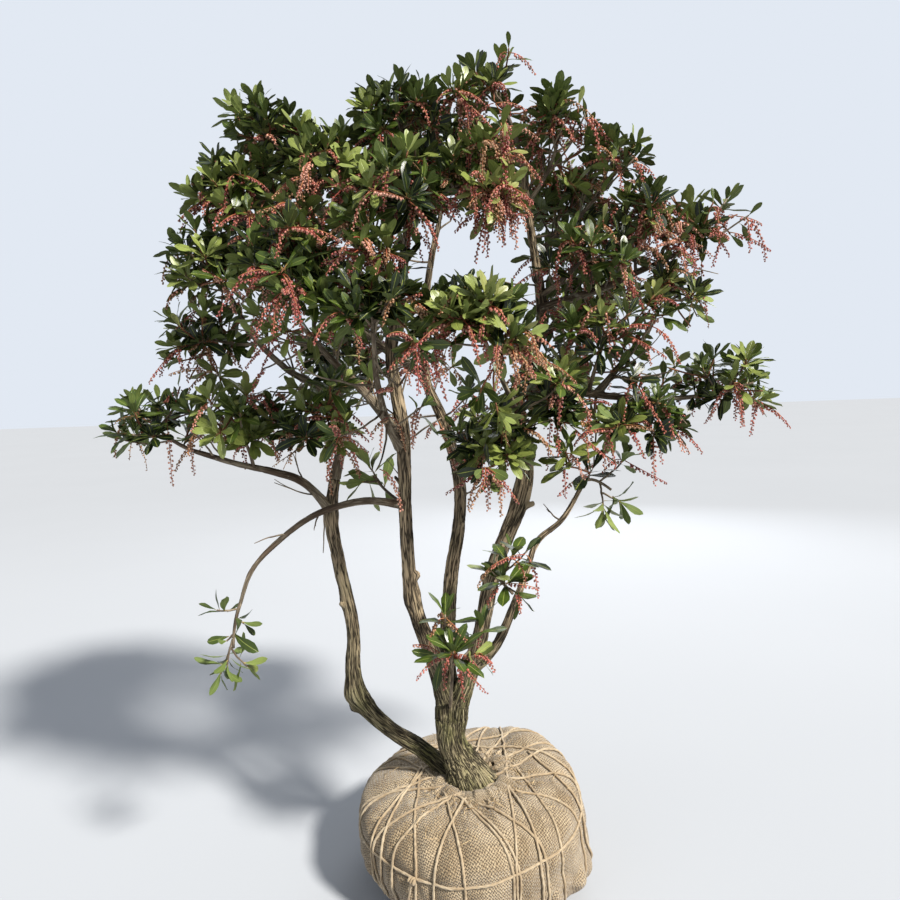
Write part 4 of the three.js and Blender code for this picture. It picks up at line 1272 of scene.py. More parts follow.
def burlap_shape(points, normals):
    """Lumps of soil, grooves under the twine, folds gathered at the trunk and hanging at the foot."""
    x, y, z = points.T
    angle = np.arctan2(y, x)
    radius = np.hypot(x, y)
    values = settings("ball")
    lumps = 0.0050 * noise_at(points, 0.085) + 0.0022 * noise_at(points, 0.034, 7)
    near_twine = nearest_distance(points, [spaced(line, 400) for line in twine_lines()])
    groove = -values.groove * np.exp(-((near_twine / 0.0075) ** 2))
    groove += 0.0034 * smoothstep(0.006, 0.032, near_twine)
    foot_side = 1 - smoothstep(0.05, 0.135, z)
    drape = crease_noise(angle, 1.9, z * 6, 0.25, 3) - 0.22
    folds = foot_side * 0.014 * drape * smoothstep(0.10, 0.17, radius)
    side, front = x - GATHER[0], y - GATHER[1]
    middle = np.hypot(side, front)
    gather = smoothstep(0.18, 0.06, middle) * smoothstep(BALL_WAIST, BALL_HEIGHT - 0.02, z)
    turns = np.arctan2(front, side)
    pleats = crease_noise(turns, 2.2, middle * 5, 0.27, 11)
    # Close to the trunk the cloth is bunched in short crumples.
    bunched = smoothstep(0.125, 0.065, middle) * (z > BALL_WAIST)
    crumple = crease_noise(turns, 2.6, middle * 30, 0.20, 17) - 0.2
    hollow = -0.006 * smoothstep(0.075, 0.045, middle) * (z > BALL_WAIST)
    out = ((lumps + groove) * smoothstep(0.004, 0.03, z) + folds
           + values.folds * gather * (pleats - 0.25) + hollow + 0.016 * bunched * crumple)
    moved = points + normals * out[:, None]
    # On the right the spare cloth hangs straight down from the waist, and stands out at its hem.
    toward = np.maximum(0, np.cos(angle + 0.45)) ** 6
    hang = toward * (1 - smoothstep(0.03, 0.115, z)) * smoothstep(0.12, 0.145, radius)
    wave = 1 + 0.10 * np.sin(angle * 29) + 0.10 * np.sin(angle * 13 + 1)
    outward = unit(np.stack([x, y, 0 * x], 1))
    moved += outward * (hang * 0.030 * wave)[:, None]
    moved[:, 2] = np.maximum(moved[:, 2], 0.0)
    return moved


def lay_cloth(obj, angle, along):
    """Where each point lies on the flat cloth: laid up from the ball's foot, and down from its top."""
    whole = lengths_along(np.stack(ball_profile(200), 1))[-1]
    around = level(angle)
    store(obj, "weave_foot", around * along[:, None])
    store(obj, "weave_top", around * (whole - along)[:, None])


class PIERIS_OT_burlap(bpy.types.Operator):
    """Wraps the root ball in burlap"""

    bl_idname = "pieris.burlap"
    bl_label = "Burlap Wrap"

    def execute(self, context):
        bpy.ops.object.select_all(action="DESELECT")
        rings = 190
        bpy.ops.mesh.primitive_uv_sphere_add(segments=320, ring_count=rings, radius=1)
        ball = context.object
        points = vertices_of(ball)
        tilt = np.arcsin(np.clip(points[:, 2], -1, 1)) / np.pi + 0.5
        angle = np.arctan2(points[:, 1], points[:, 0])
        radius, height = ball_profile(rings + 1)
        steps = np.linspace(0, 1, rings + 1)
        out, up = np.interp(tilt, steps, radius), np.interp(tilt, steps, height)
        move_vertices(ball, settle(np.stack([out * np.cos(angle), out * np.sin(angle), up], 1)))
        smooth = vertices_of(ball)
        move_vertices(ball, burlap_shape(smooth, normals_of(ball)))
        along = tilt * lengths_along(np.stack([radius, height], 1))[-1]
        lay_cloth(ball, angle, along)
        finish_piece(ball, "burlap_wrap", burlap_material(), ["root_ball"])
        return {"FINISHED"}


class PIERIS_OT_frayed_cloth(bpy.types.Operator):
    """Bunches the cloth's loose edge and its fibres round the trunk's foot"""

    bl_idname = "pieris.frayed_cloth"
    bl_label = "Frayed Cloth"

    def execute(self, context):
        random = random_from(91)
        centre = np.array([0.006, -0.028, BALL_HEIGHT])
        turns, rows = 220, 12
        angle = np.linspace(0, 2 * np.pi, turns, endpoint=False)
        across = np.linspace(0, 1, rows)[:, None]
        # A strip that leaves the ball, rises in uneven ruffles and leans on the trunk.
        ring = level(angle)
        ruffle = noise_at(ring * 3.0, 1.0, 2) + 0.5 * noise_at(ring * 9.0, 1.0, 4)
        inner = 0.052 + 0.004 * ruffle
        outer = 0.098 + 0.020 * noise_at(ring * 2.0, 1.0, 9)
        reach = outer + (inner - outer) * across
        rise = -0.007 + (0.013 + 0.011 * ruffle) * np.sin(np.pi * across * 0.72) ** 1.5
        sheet = centre + ring[None] * reach[..., None] + UP * rise[..., None]
        sheet[..., 2] += BALL_LEAN * BALL_HEIGHT * sheet[..., 0] / BALL_RADIUS
        points = sheet.reshape(-1, 3)
        k = np.arange(turns)
        after = (k + 1) % turns
        quads = np.vstack([np.stack([row + k, row + after, row + turns + after, row + turns + k], 1)
                           for row in range(0, (rows - 1) * turns, turns)])
        collar = mesh_piece("collar", points, [quads])
        around = np.broadcast_to(angle, (rows, turns)).ravel()
        lay_cloth(collar, around, np.repeat(0.42 + 0.05 * across, turns))
        apply_modifier(collar, "SOLIDIFY", thickness=0.0022, offset=0.0)
        apply_modifier(collar, "SUBSURF", levels=1)
        finish_piece(collar, "burlap_collar", burlap_material())

        hairs = []
        for _ in range(settings("ball").fibres):
            turn = random(0, 2 * math.pi)
            out = random(0.046, 0.10) if random() < 0.7 else random(0.10, 0.2)
            seat = centre + np.array([math.cos(turn), math.sin(turn), 0]) * out
            sunk = 0.004 if out < 0.1 else 0.002 + 9 * (out - 0.1) ** 3
            seat[2] += BALL_LEAN * BALL_HEIGHT * seat[0] / BALL_RADIUS - sunk
            aim = random(0, 2 * math.pi)
            length = random(0.008, 0.030)
            end = seat + np.array([math.cos(aim), math.sin(aim), 0]) * length + UP * random(-0.001, 0.008)
            bend = (seat + end) / 2 + jitter(random, 0.1, 0.7) * length * 0.4
            hairs.append(tapered(bezier(seat, bend, end, 6), LOOSE_FIBRE))
        fibres = mesh_piece("fibres", *sweep(hairs, 4))
        finish_piece(fibres, "burlap_fibres", mottled_material("Loose Fibre"))
        return {"FINISHED"}


def two_ply(angle, along):
    """The lobed section of two yarns laid round each other."""
    lay = along * 2 * np.pi / settings("twine").pitch
    return 0.80 + 0.30 * np.abs(np.cos(angle - lay))


class PIERIS_OT_twine(bpy.types.Operator):
    """Lashes the ball with twine: crossing strands, the tie round its shoulder, a knot and its tail"""

    bl_idname = "pieris.twine"
    bl_label = "Twine Lashing"

    def execute(self, context):
        radius = settings("twine").diameter / 2
        cloth = bpy.data.objects["burlap_wrap"]
        paths = []
        for number, line in enumerate(twine_lines()):
            steps = int(lengths_along(line)[-1] / 0.0034)
            line = self.laid(cloth, spaced(line, steps), radius * (0.75 + 0.35 * (number % 3)))
            paths.append((line, radius * (1 + 0.12 * noise_at(line, 0.03, 5))))
        paths.extend(self.knot(tie_line()[0], radius))
        points, faces, grain = sweep(paths, 12, two_ply)
        twine = mesh_piece("twine", points, faces, grain)
        finish_piece(twine, "twine_lashing", twine_material(), ["ball_lashing"])
        return {"FINISHED"}

    def laid(self, cloth, line, lift):
        """The line drawn taut over the cloth, a little way off it."""
        for _ in range(2):
            for i, point in enumerate(line):
                _, seat, normal, _ = cloth.closest_point_on_mesh(Vector(point))
                line[i] = np.array(seat) + np.array(normal) * lift
            for _ in range(3):
                line[1:-1] = line[1:-1] * 0.5 + (line[:-2] + line[2:]) * 0.25
        return line

    def knot(self, seat, radius):
        """Two turns round the tie and a tail that hangs down the ball."""
        out = unit(seat * (1, 1, 0))
        side = np.cross(UP, out)
        turn = np.linspace(0, 2 * np.pi * 2.2, 40)[:, None]
        coil = (out * np.cos(turn) + UP * np.sin(turn)) * radius * 1.9
        wraps = seat + coil + side * radius * (turn / 3.2 - 2)
        angle = math.atan2(out[1], out[0]) + np.linspace(0, -0.10, 24)
        drop = np.linspace(0, 0.085, 24)
        height = np.maximum(seat[2] - drop, 0.03)
        rise = np.clip((height - BALL_WAIST) / (BALL_HEIGHT - BALL_WAIST), 0, 1)
        low = np.clip((BALL_WAIST - height) / BALL_WAIST, 0, 1)
        foot = BALL_FOOT + (BALL_RADIUS - BALL_FOOT) * np.sqrt(1 - low**2)
        wide = np.where(height < BALL_WAIST, foot, shoulder_radius(rise))
        tail = over_ball(np.stack([wide * np.cos(angle), wide * np.sin(angle), height], 1), 0.0042)
        tail[:3] += out * radius * 1.4
        return [(wraps, radius), (tail, radius * 0.9)]


# ---------------------------------------------------------------- trunk, stems and boughs

# Burls and swellings: middle in millimetres, width and height of each.
BURLS = (
    ((-236, 4, 371), 26, 9), ((-206, 14, 352), 20, 5), ((-244, 22, 560), 16, 3), ((-104, -52, 584), 20, 5),
    ((-98, -32, 596), 15, 4), ((-118, -44, 905), 20, 3.5), ((28, -36, 452), 22, 4), ((120, 12, 776), 22, 4),
    ((-36, 10, 452), 18, 4), ((-262, 30, 742), 20, 4), ((-60, -44, 470), 18, 3), ((-264, 34, 700), 14, 3),
)
TRUNK_FORK = 0.345  # height above which the trunk is no more than its stems, grown together
# The limbs that leave the side of another one, each with a flared foot.
FLARED = [name for name in BOUGHS if name != "bough_left_rise"] + ["stem_right_outer"]


def limb_lines(names):
    """The splines that the wood is skinned over: the limbs, lengthened at their feet, and their stubs."""
    roots = {
        "trunk": [(0.006, -0.028, 0.168, 0.047)],
        "stem_left_centre": [(-0.051, -0.030, 0.285, 0.011), (-0.049, -0.032, 0.330, 0.0165)],
        "stem_right_centre": [(-0.023, -0.030, 0.285, 0.011), (-0.019, -0.031, 0.330, 0.0175)],
        "stem_rear": [(-0.035, -0.018, 0.270, 0.010), (-0.034, -0.015, 0.325, 0.015)],
        "stem_left_outer": [(-0.016, -0.012, 0.180, 0.018)],
    }
    lines = []
    for name in names:
        branch = limb(name)
        radii = branch.radii.copy()
        if name in FLARED:
            radii *= 1 + 0.55 * np.exp(-branch.along / 0.022)
        rows = np.column_stack([branch.points, radii])
        if name in roots:
            rows = np.vstack([roots[name], rows])
        if name == "trunk":
            # The trunk thins out and ends where its stems take over.
            rows = rows[rows[:, 2] < TRUNK_FORK + 0.012]
            rows[:, 3] *= 1 - 0.5 * smoothstep(TRUNK_FORK - 0.05, TRUNK_FORK + 0.01, rows[:, 2])
        lines.append(rows)
    for name, share, degrees, length, width in STUBS:
        if name not in names:
            continue
        point, lean, radius = limb(name).at(share)
        side = unit(np.cross(lean, (0.0, 1.0, 0.0)))
        front = np.cross(side, lean)
        turn = math.radians(degrees)
        out = unit(side * math.cos(turn) + front * math.sin(turn) + lean * 0.7)
        reach = radius + length * MM
        lines.append(np.array([[*(point + out * reach * t), width * MM * wide]
                               for t, wide in ((0.0, 1.5), (0.45, 1.2), (0.8, 0.95), (1.0, 0.8))]))
    return lines


def skin(lines, voxel):
    """Tubes over the lines, fused into one skin of even small faces."""
    bpy.ops.object.select_all(action="DESELECT")
    bpy.ops.curve.primitive_nurbs_path_add()
    tube = bpy.context.object
    curve = tube.data
    curve.splines.clear()
    curve.bevel_depth = 1
    curve.bevel_resolution = 6
    curve.use_fill_caps = True
    for rows in lines:
        spline = curve.splines.new("POLY")
        spline.points.add(len(rows) - 1)
        spline.points.foreach_set("co", np.column_stack([rows[:, :3], np.ones(len(rows))]).ravel())
        spline.points.foreach_set("radius", rows[:, 3])
    bpy.ops.object.convert(target="MESH")
    tube = bpy.context.object
    apply_modifier(tube, "REMESH", mode="VOXEL", voxel_size=voxel)
    apply_modifier(tube, "SMOOTH", factor=0.5, iterations=5)
    return tube


def limb_coordinates(points, names):
    """For each point: the nearest limb's grain coordinates, its radius there, and how much further the
    next limb's skin is."""
    best = np.full(len(points), np.inf)
    second = best.copy()
    grain = np.zeros((len(points), 3))
    radius = np.zeros(len(points))
    for number, name in enumerate(names):
        branch = limb(name)
        used = len(branch.points) if name != "trunk" else int((branch.points[:, 2] < TRUNK_FORK).sum())
        nearest = np.empty(len(points), int)
        for first in range(0, len(points), 8000):
            block = points[first:first + 8000, None] - branch.points[None, :used]
            nearest[first:first + 8000] = (np.einsum("vsi,vsi->vs", block, block) ** 0.5
                                           - branch.radii[:used]).argmin(axis=1)
        offset = points - branch.points[nearest]
        lean = branch.tangents[nearest]
        rise = np.einsum("vi,vi->v", offset, lean)
        flat = offset - lean * rise[:, None]
        out = unit(flat)
        depth = np.linalg.norm(offset, axis=1) - branch.radii[nearest]
        closer = depth < best
        second = np.where(closer, best, np.minimum(second, depth))
        best = np.where(closer, depth, best)
        wide = np.maximum(branch.radii[nearest], 0.006)
        spot = np.stack([np.einsum("vi,vi->v", out, branch.normals[nearest]) * wide,
                         np.einsum("vi,vi->v", out, branch.binormals[nearest]) * wide,
                         branch.along[nearest] + rise + LIMB_GRAIN_SHIFT * number], 1)
        grain[closer] = spot[closer]
        radius[closer] = branch.radii[nearest][closer]
    return grain, radius, np.clip(second - best, 0, 1)


def bark_relief(obj, names, depth):
    """Raises fluted, interlacing ridges of bark along the limbs, with burls and a flared foot."""
    points, normals = vertices_of(obj), normals_of(obj)
    grain, radius, apart = limb_coordinates(points, names)
    store(obj, "grain", grain)
    calm = smoothstep(0.001, 0.010, apart)
    thick = smoothstep(0.003, 0.030, radius)
    flutes = noise_at(grain * (1, 1, 0.16), 0.020, 1.7)
    ridge = noise_at(grain * (1, 1, 0.075) + 0.002 * noise_at(grain, 0.03, 5)[:, None], 0.0056, 4.2)
    furrow = np.exp(-((ridge / 0.16) ** 2))
    small = noise_at(grain * (1, 1, 0.3), 0.0052, 8.8)
    out = calm * depth * ((0.35 + 0.65 * thick) * (1.1 - 2.1 * furrow) + 0.45 * small)
    out += (0.0009 + 0.0022 * thick) * flutes + 0.0016 * thick * noise_at(points, 0.045, 3)
    for (x, y, z), width, height in BURLS:
        away = np.linalg.norm(points - np.array([x, y, z]) * MM, axis=1)
        out += height * MM * np.exp(-((away / (width * MM)) ** 2))
    moved = points + normals * out[:, None]
    if "trunk" in names:
        # The foot spreads in buttresses, most of all to the right.
        side, front = points[:, 0] + 0.006, points[:, 1] + 0.028
        turn = np.arctan2(front, side)
        low = smoothstep(0.262, 0.182, points[:, 2]) ** 1.6 * (np.hypot(side, front) < 0.075)
        lobes = 0.0070 + 0.0045 * np.cos(turn * 5 + 0.6) + 0.013 * np.maximum(0, np.cos(turn + 0.25)) ** 3
        moved += level(turn) * (low * lobes)[:, None]
    move_vertices(obj, moved)


class PIERIS_OT_stems(bpy.types.Operator):
    """Models the trunk and its stems as one skin with fluted, furrowed bark"""

    bl_idname = "pieris.stems"
    bl_label = "Trunk and Stems"

    def execute(self, context):
        stems = skin(limb_lines(WOOD), settings("wood").fineness)
        bark_relief(stems, WOOD, settings("wood").relief)
        finish_piece(stems, "trunk_and_stems", bark_material(), WOOD)
        return {"FINISHED"}


class PIERIS_OT_boughs(bpy.types.Operator):
    """Models the boughs that the stems carry, each with a flared foot"""

    bl_idname = "pieris.boughs"
    bl_label = "Boughs"

    def execute(self, context):
        boughs = skin(limb_lines(BOUGHS), settings("wood").fineness * 0.75)
        bark_relief(boughs, BOUGHS, settings("wood").relief * 0.45)
        finish_piece(boughs, "boughs", bough_material(), BOUGHS)
        return {"FINISHED"}


# ---------------------------------------------------------------- leaves, racemes and twigs


LEAF_VARIANTS = 6
# Sprays whose leaves are larger than those of the crown.
LARGER_LEAVES = {name: 1.30 for name in SPRAYS if name != "foliage_droop_tip"}
PROUD = 0.018  # how far leaves and buds may stand out of the box
# Colours of leaves and of racemes, each with the tone below which it is taken.
LEAF_TONES = (("dark", 0.34), ("green", 0.66), ("fresh", 0.98), ("yellow", math.inf))
BUD_TONES = (("coral", 0.35), ("rose", 0.66), ("pale", 0.83), ("amber", math.inf))
CAPSULE_SIZE = 0.0036
# Radii at the foot and at the tip of stalks and bare spurs.
RACEME_STALK = (0.0010, 0.0005)
CAPSULE_STALK = (0.0009, 0.0005)
SPUR = (0.0019, 0.0007)
SPUR_FORK = (0.0012, 0.0006)


def of_tone(tones, tone):
    """The first colour whose limit is above a tone."""
    return next(colour for colour, limit in tones if tone < limit)


def placed(origin, along, face, size):
    """A 3 by 4 matrix that lays a template's +Y along a direction, and its +Z towards face."""
    y = unit(along)
    z = unit(face - y * (face @ y))
    return np.column_stack([np.cross(y, z) * size, y * size, z * size, origin])


@functools.cache
def leaf_template(variant):
    """A leaf of unit length, broadest past its middle, folded along its midrib and curved back."""
    random = random_from(200 + variant)
    bpy.ops.object.select_all(action="DESELECT")
    bpy.ops.mesh.primitive_grid_add(x_subdivisions=4, y_subdivisions=6, size=2)
    blade = bpy.context.object
    flat = vertices_of(blade)
    side = flat[:, 0]
    along = np.interp(flat[:, 1], np.linspace(-1, 1, 7), (0, 0.15, 0.36, 0.57, 0.76, 0.92, 1))
    width = random(0.145, 0.182)
    half = width * np.sin(np.pi * np.clip(along, 0, 1) ** 1.9) ** 0.66 + 0.010 * (1 - along)
    ends = along > 0.999
    half[ends] = 0
    fold, curve, twist = random(0.10, 0.55), random(-0.05, 0.34), random(-0.35, 0.35)
    x = side * half
    z = fold * np.abs(x) - 0.9 * fold * x**2 / width - curve * along**2.2
    z += 0.02 * np.sin(along * 9 + variant) * np.abs(side)
    lean = twist * along
    y = along * (1 - 0.12 * abs(curve))
    move_vertices(blade, np.stack([x * np.cos(lean), y, z + x * np.sin(lean)], 1))
    uvs = np.stack([side * 0.5 + 0.5, along], 1)
    faces = faces_of(blade.data)
    points = vertices_of(blade)
    bpy.data.meshes.remove(blade.data)
    tip = np.flatnonzero(ends)
    merged = {int(i): int(tip[2]) for i in tip}
    shaped = []
    for face in faces:
        corners = list(dict.fromkeys(merged.get(i, i) for i in face))
        if len(corners) > 2:
            shaped.append(corners)
    return points, shaped, uvs


@functools.cache
def bead_template():
    """A small urn-shaped bud that hangs from its origin along -Z, of unit length."""
    bpy.ops.object.select_all(action="DESELECT")
    bpy.ops.mesh.primitive_ico_sphere_add(subdivisions=1, radius=0.5)
    bead = bpy.context.object
    points = vertices_of(bead)
    belly = 1 + 0.35 * points[:, 2]
    points = np.stack([points[:, 0] * belly * 0.86, points[:, 1] * belly * 0.86, points[:, 2] - 0.5], 1)
    faces = faces_of(bead.data)
    bpy.data.meshes.remove(bead.data)
    return points, faces, np.stack([points[:, 0] + 0.5, points[:, 2] + 1], 1)


def raceme_line(origin, out, random, length):
    """A raceme sets out sideways and bends down, some of them only a little."""
    rise = random(-0.45, 0.30)
    hang = random(0.15, 1.0)
    bend = origin + (out * (1 - 0.4 * hang) + UP * rise) * length * 0.45
    end = origin + out * length * (0.92 - 0.62 * hang) + UP * length * (0.22 * rise - 0.08 - 0.80 * hang)
    end += np.array([random(-1, 1), random(-1, 1), 0]) * length * 0.12
    return spaced(bezier(origin, bend, end, 16), 9)


def beads_along(line, size, count, random):
    """Places of buds, two or three deep, which hang under both sides of a raceme's stalk."""
    places = []
    lean = unit(np.gradient(line, axis=0))
    for k in range(count):
        share = 0.10 + 0.90 * (k + random(0, 0.6)) / count
        i = min(share, 0.999) * (len(line) - 1)
        low = int(i)
        point = line[low] + (line[min(low + 1, len(line) - 1)] - line[low]) * (i - low)
        turn = k * 2.3 + random(-0.5, 0.5)
        side = unit(np.cross(lean[low], UP) + 1e-6)
        upper = np.cross(side, lean[low])
        out = side * math.sin(turn) + upper * math.cos(turn) * 0.55
        hang = unit(out * 0.85 - UP * 0.75 + lean[low] * 0.2)
        width = size * (1.05 - 0.42 * share) * random(0.85, 1.12)
        seat = point + hang * size * 0.55 * (1.1 - 0.5 * share)
        places.append(placed(seat, np.cross(hang, lean[low] + 1e-6), -hang, width))
    return places


def in_bounds(place):
    """Whether a place keeps to the shrub's own box, but for a little that may stand proud of it."""
    return bool(np.all(place > CAD_BOX[0] - PROUD) and np.all(place < CAD_BOX[1] + PROUD))


class Foliage:
    """All leaves, buds and stalks of the crown, gathered by their colours."""

    def __init__(self):
        self.leaves = {}
        self.beads = {}
        self.stalks = []
        self.capsules = []
        self.capsule_stalks = []
        for mass in crown():
            for shoot in mass.rosettes:
                self.rosette(mass, shoot)

    def rosette(self, mass, shoot):
        random = mass.random
        values = settings("foliage")
        line, reach = shoot.line, shoot.reach
        tip = line[-1]
        axis = unit(unit(line[-1] - line[-3]) + UP * shoot.rise)
        # Painted light and shade: rosettes high in their mass and at its edge take lighter leaf colours,
        # those low in it and deep inside it darker ones.
        tone = random() - 0.30 * max(-0.6, min(0.6, (mass.centre[2] - tip[2]) / mass.size[2]))
        tone = shoot.tone if shoot.tone is not None else tone + 0.35 * (min(1, float(mass.depth(tip))) - 0.75)
        colour = of_tone(LEAF_TONES, tone)
        side = unit(np.cross(axis, (0.3, 0.95, 0.1)))
        front = np.cross(axis, side)
        count = int(random(8, 15)) if shoot.leaves is None else shoot.leaves
        turn = random(0, 2 * math.pi)
        for k in range(count):
            age = k / max(1, count - 1)
            tilt = math.radians(16 + 66 * age**1.1 + random(-10, 10))
            angle = turn + k * GOLDEN_ANGLE + random(-0.2, 0.2)
            out = side * math.cos(angle) + front * math.sin(angle)
            along = unit(axis * math.cos(tilt) + out * math.sin(tilt) - UP * 0.07 * age)
            face = -out * math.cos(tilt) + axis * math.sin(tilt) + UP * 0.35
            length = values.leaf_length * LARGER_LEAVES.get(mass.name, 1) * (0.62 + 0.42 * age**0.6)
            length *= random(0.84, 1.08)
            base = tip - unit(line[-1] - line[-2]) * 0.020 * age + out * 0.0012
            depth = mass.depth(base + along * length)
            if reach and depth > reach - 0.2:
                length *= max(0.62, 1 - (depth - reach + 0.2) * 1.1)
            tip_place = base + along * length
            if (reach and mass.depth(tip_place) > reach) or not in_bounds(tip_place):
                continue
            key = (colour, int(random(0, LEAF_VARIANTS - 0.001)))
            self.leaves.setdefault(key, []).append(placed(base, along, face, length))
        flowers = random() < BLOOM.get(mass.name, values.flowering) or shoot.leaves is not None
        if flowers and shoot.racemes:
            self.racemes(mass, shoot.racemes, tip, axis, side, front, random)
        elif shoot.leaves is None and random() < 0.16:
            self.old_capsules(tip, side, front, random)

    def racemes(self, mass, number, tip, axis, side, front, random):
        values = settings("foliage")
        colour = of_tone(BUD_TONES, random())
        turn = random(0, 2 * math.pi)
        away = unit((tip - mass.centre) * (1, 1, 0) + 1e-9)
        for k in range(number):
            angle = turn + k * 2.2 + random(-0.4, 0.4)
            out = unit(side * math.cos(angle) + front * math.sin(angle) + away * 0.45 + 1e-9)
            out = unit(out * (1, 1, 0.4))
            length = values.raceme_length * random(0.62, 1.1)
            line = raceme_line(tip - axis * 0.007 + out * 0.002, out, random, length)
            if not in_bounds(line[-1]):
                continue
            self.stalks.append(tapered(line, RACEME_STALK))
            count = int(length / values.bud_size * random(1.6, 1.9))
            self.beads.setdefault(colour, []).extend(beads_along(line, values.bud_size, count, random))

    def old_capsules(self, tip, side, front, random):
        for _ in range(int(random(1, 3.5))):
            angle = random(0, 2 * math.pi)
            out = unit((side * math.cos(angle) + front * math.sin(angle)) * (1, 1, 0.4))
            line = raceme_line(tip - UP * 0.012, out, random, random(0.04, 0.085))
            self.capsule_stalks.append(tapered(line, CAPSULE_STALK))
            self.capsules.extend(beads_along(line, CAPSULE_SIZE, int(random(7, 15)), random))


@functools.cache
def foliage():
    return Foliage()


class PIERIS_OT_leaves(bpy.types.Operator):
    """Grows the rosettes of leaves on every shoot, in a piece for each of their colours"""

    bl_idname = "pieris.leaves"
    bl_label = "Leaves"

    def execute(self, context):
        leaves = foliage().leaves
        for colour, _ in LEAF_TONES:
            parts = [scatter(leaf_template(variant), leaves[colour, variant])
                     for variant in range(LEAF_VARIANTS) if (colour, variant) in leaves]
            points, faces, uvs = joined(parts)
            piece = mesh_piece("leaves", points, faces, uvs=uvs)
            stands_for = list(MASSES) if colour == "dark" else ()
            finish_piece(piece, "leaves_" + colour, leaf_material(colour), stands_for)
        return {"FINISHED"}


class PIERIS_OT_buds(bpy.types.Operator):
    """Hangs the racemes of buds and their stalks, and the dry capsules of the last season"""

    bl_idname = "pieris.buds"
    bl_label = "Buds and Capsules"

    def execute(self, context):
        for colour, places in sorted(foliage().beads.items()):
            points, faces, uvs = scatter(bead_template(), places)
            piece = mesh_piece("buds", points, faces, uvs=uvs)
            finish_piece(piece, "buds_" + colour, bud_material(colour))
        stalks = mesh_piece("stalks", *sweep(foliage().stalks, 4))
        finish_piece(stalks, "raceme_stalks", mottled_material("Raceme Stalk"))
        points, faces, uvs = scatter(bead_template(), foliage().capsules)
        capsules = mesh_piece("capsules", points, faces, uvs=uvs)
        finish_piece(capsules, "capsules_old", mottled_material("Dry Capsule"))
        dry = mesh_piece("dry", *sweep(foliage().capsule_stalks, 4))
        finish_piece(dry, "capsule_stalks", mottled_material("Dry Capsule"))
        return {"FINISHED"}


def bare_spurs():
    """Short bare twigs and dead spurs on the stems and boughs, under the leaves."""
    random = random_from(303)
    spurs = []
    for name in LIMBS:
        branch = limb(name)
        if name in ("trunk", "stem_left_outer"):
            continue
        for _ in range(int(branch.length / 0.060)):
            share = random(0.15, 0.97)
            point, lean, radius = branch.at(share)
            if point[2] < 0.66 or random() < 0.25:
                continue
            out = out_of(lean, random(0, 2 * math.pi))
            length = random(0.03, 0.14) * (1 if random() < 0.6 else 1.5)
            end = point + unit(out + lean * random(0.1, 1.0) + UP * random(-0.3, 0.5)) * (radius + length)
            line = crooked(point, end, random(-0.05, 0.12), random, 7)
            spurs.append(tapered(line, SPUR))
            if random() < 0.6:
                fork = line[int(random(2, 5))]
                tip = fork + (end - fork) * 0.5 + jitter(random, -0.6) * length * 0.45
                spurs.append(tapered(crooked(fork, tip, 0.05, random, 5), SPUR_FORK))
    return spurs


class PIERIS_OT_twigs(bpy.types.Operator):
    """Carries the boughs on into the twigs that bear the leaves, and adds the bare spurs"""

    bl_idname = "pieris.twigs"
    bl_label = "Twigs"

    def execute(self, context):
        old = [twig for mass in crown() for twig in mass.old_twigs] + bare_spurs()
        young = [twig for mass in crown() for twig in mass.young_twigs]
        count = 9
        shares = np.linspace(0, 1, count)
        for name, twigs, material in (("twigs_old", old, twig_material(False)),
                                      ("twigs_young", young, twig_material(True))):
            paths = [(spaced(line, count), np.interp(shares, np.linspace(0, 1, len(radii)), radii))
                     for line, radii in twigs]
            points, faces, grain = sweep(paths, 6)
            piece = mesh_piece(name, points, faces, grain)
            finish_piece(piece, name, material)
        return {"FINISHED"}


# ---------------------------------------------------------------- stage

CAMERA_PLACE = (-0.017, -1.28, 0.98)
CAMERA_DOWN = math.radians(5)
CAMERA_ROLL = math.radians(-2)
LENS = 26  # millimetres, like the sensor's width
SENSOR = 36
KEY_DIRECTION = (-0.57, 0.47, -0.67)
KEY_SOFTNESS = math.radians(8)
FLOOR_SIZE = 60
LIGHTS_AIM = Vector((-0.05, -0.02, 0.8))  # the middle of the shrub


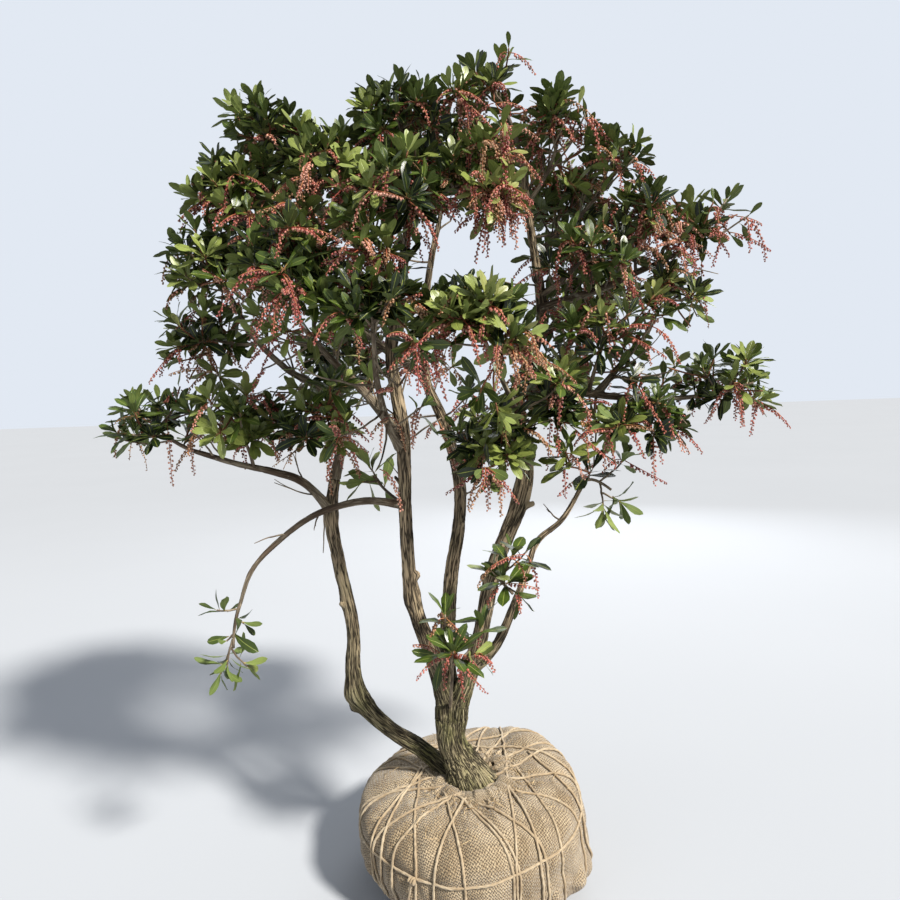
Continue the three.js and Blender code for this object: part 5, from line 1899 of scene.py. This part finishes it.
class PIERIS_OT_stage(bpy.types.Operator):
    """Sets up the floor, the soft light and the camera"""

    bl_idname = "pieris.stage"
    bl_label = "Stage"

    def execute(self, context):
        values = settings("stage")
        bpy.ops.object.select_all(action="DESELECT")
        bpy.ops.mesh.primitive_plane_add(size=FLOOR_SIZE, location=(0, 0, 0))
        floor = context.object
        floor.name = "floor"
        floor.data.materials.append(floor_material())
        floor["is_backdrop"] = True
        bpy.ops.object.light_add(type="SUN", location=(2.1, -2.3, 3.0))
        key = context.object
        key.name = "key_light"
        key.data.energy = values.sun
        key.data.angle = KEY_SOFTNESS
        key.data.color = (1.0, 0.965, 0.90)
        key.rotation_euler = Vector(KEY_DIRECTION).to_track_quat("-Z", "Y").to_euler()
        self.light(context, "fill_light", (-2.6, -2.0, 2.0), 2.4, values.fill, (0.90, 0.95, 1.0))
        self.light(context, "back_light", (1.2, 3.4, 2.2), 3.0, values.back, (0.95, 0.97, 1.0))
        world = context.scene.world or bpy.data.worlds.new("World")
        context.scene.world = world
        world.use_nodes = True
        sky = world.node_tree.nodes["Background"]
        sky.inputs[0].default_value = rgba(tint(226, 233, 243))
        # What the camera sees of the room is a plain bright backdrop; what lights the shrub is dimmer.
        seen = add(world.node_tree, "LightPath").outputs["Is Camera Ray"]
        light = add(world.node_tree, "Mix", {0: seen, 2: values.sky, 3: 1.0}).outputs[0]
        world.node_tree.links.new(light, sky.inputs[1])
        context.scene.view_settings.view_transform = "Standard"
        self.camera(context)
        return {"FINISHED"}

    def light(self, context, name, place, size, power, colour):
        bpy.ops.object.light_add(type="AREA", location=place)
        lamp = context.object
        lamp.name = name
        lamp.data.shape = "DISK"
        lamp.data.size = size
        lamp.data.energy = power
        lamp.data.color = colour
        aim = LIGHTS_AIM - Vector(place)
        lamp.rotation_euler = aim.to_track_quat("-Z", "Y").to_euler()

    def camera(self, context):
        """The camera stands square to the front, tipped down and a little rolled."""
        ahead = Vector((0, math.cos(CAMERA_DOWN), -math.sin(CAMERA_DOWN)))
        right = Vector((1, 0, 0))
        above = right.cross(ahead)
        turned = right * math.cos(CAMERA_ROLL) + above * math.sin(CAMERA_ROLL)
        top = above * math.cos(CAMERA_ROLL) - right * math.sin(CAMERA_ROLL)
        bpy.ops.object.camera_add(location=CAMERA_PLACE)
        camera = context.object
        camera.name = "camera"
        camera.rotation_euler = Matrix((turned, top, -ahead)).transposed().to_euler()
        camera.data.lens = LENS
        camera.data.sensor_width = SENSOR
        camera.data.clip_start = 0.05
        context.scene.camera = camera


# ---------------------------------------------------------------- panel and registration


class PIERIS_PT_panel(bpy.types.Panel):
    """Lists the settings and the pieces of the shrub"""

    bl_label = "Pieris Shrub"
    bl_idname = "PIERIS_PT_panel"
    bl_space_type = "VIEW_3D"
    bl_region_type = "UI"
    bl_category = "Pieris"

    def draw(self, context):
        for name, group in GROUPS.items():
            box = self.layout.box()
            box.label(text=group.__doc__)
            for key in group.__annotations__:
                box.prop(getattr(context.scene, "pieris_" + name), key)
        for operator in OPERATORS:
            self.layout.operator(operator.bl_idname)


GROUPS = {"ball": PierisBallSettings, "twine": PierisTwineSettings, "wood": PierisWoodSettings,
          "foliage": PierisFoliageSettings, "stage": PierisStageSettings}
OPERATORS = (PIERIS_OT_stage, PIERIS_OT_burlap, PIERIS_OT_frayed_cloth, PIERIS_OT_twine, PIERIS_OT_stems,
             PIERIS_OT_boughs, PIERIS_OT_leaves, PIERIS_OT_buds, PIERIS_OT_twigs)
CLASSES = (*GROUPS.values(), *OPERATORS, PIERIS_PT_panel)


def register():
    for cls in CLASSES:
        bpy.utils.register_class(cls)
    for name, group in GROUPS.items():
        setattr(bpy.types.Scene, "pieris_" + name, bpy.props.PointerProperty(type=group))


def unregister():
    for name in GROUPS:
        delattr(bpy.types.Scene, "pieris_" + name)
    for cls in reversed(CLASSES):
        bpy.utils.unregister_class(cls)


def main():
    register()
    for operator in OPERATORS:
        group, name = operator.bl_idname.split(".")
        getattr(getattr(bpy.ops, group), name)()
    plain = {"cad": [[float(v) for v in corner] for corner in CAD_BOX],
             "visual": [[float(v) for v in corner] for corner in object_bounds()]}


if __name__ == "__main__":
    main()
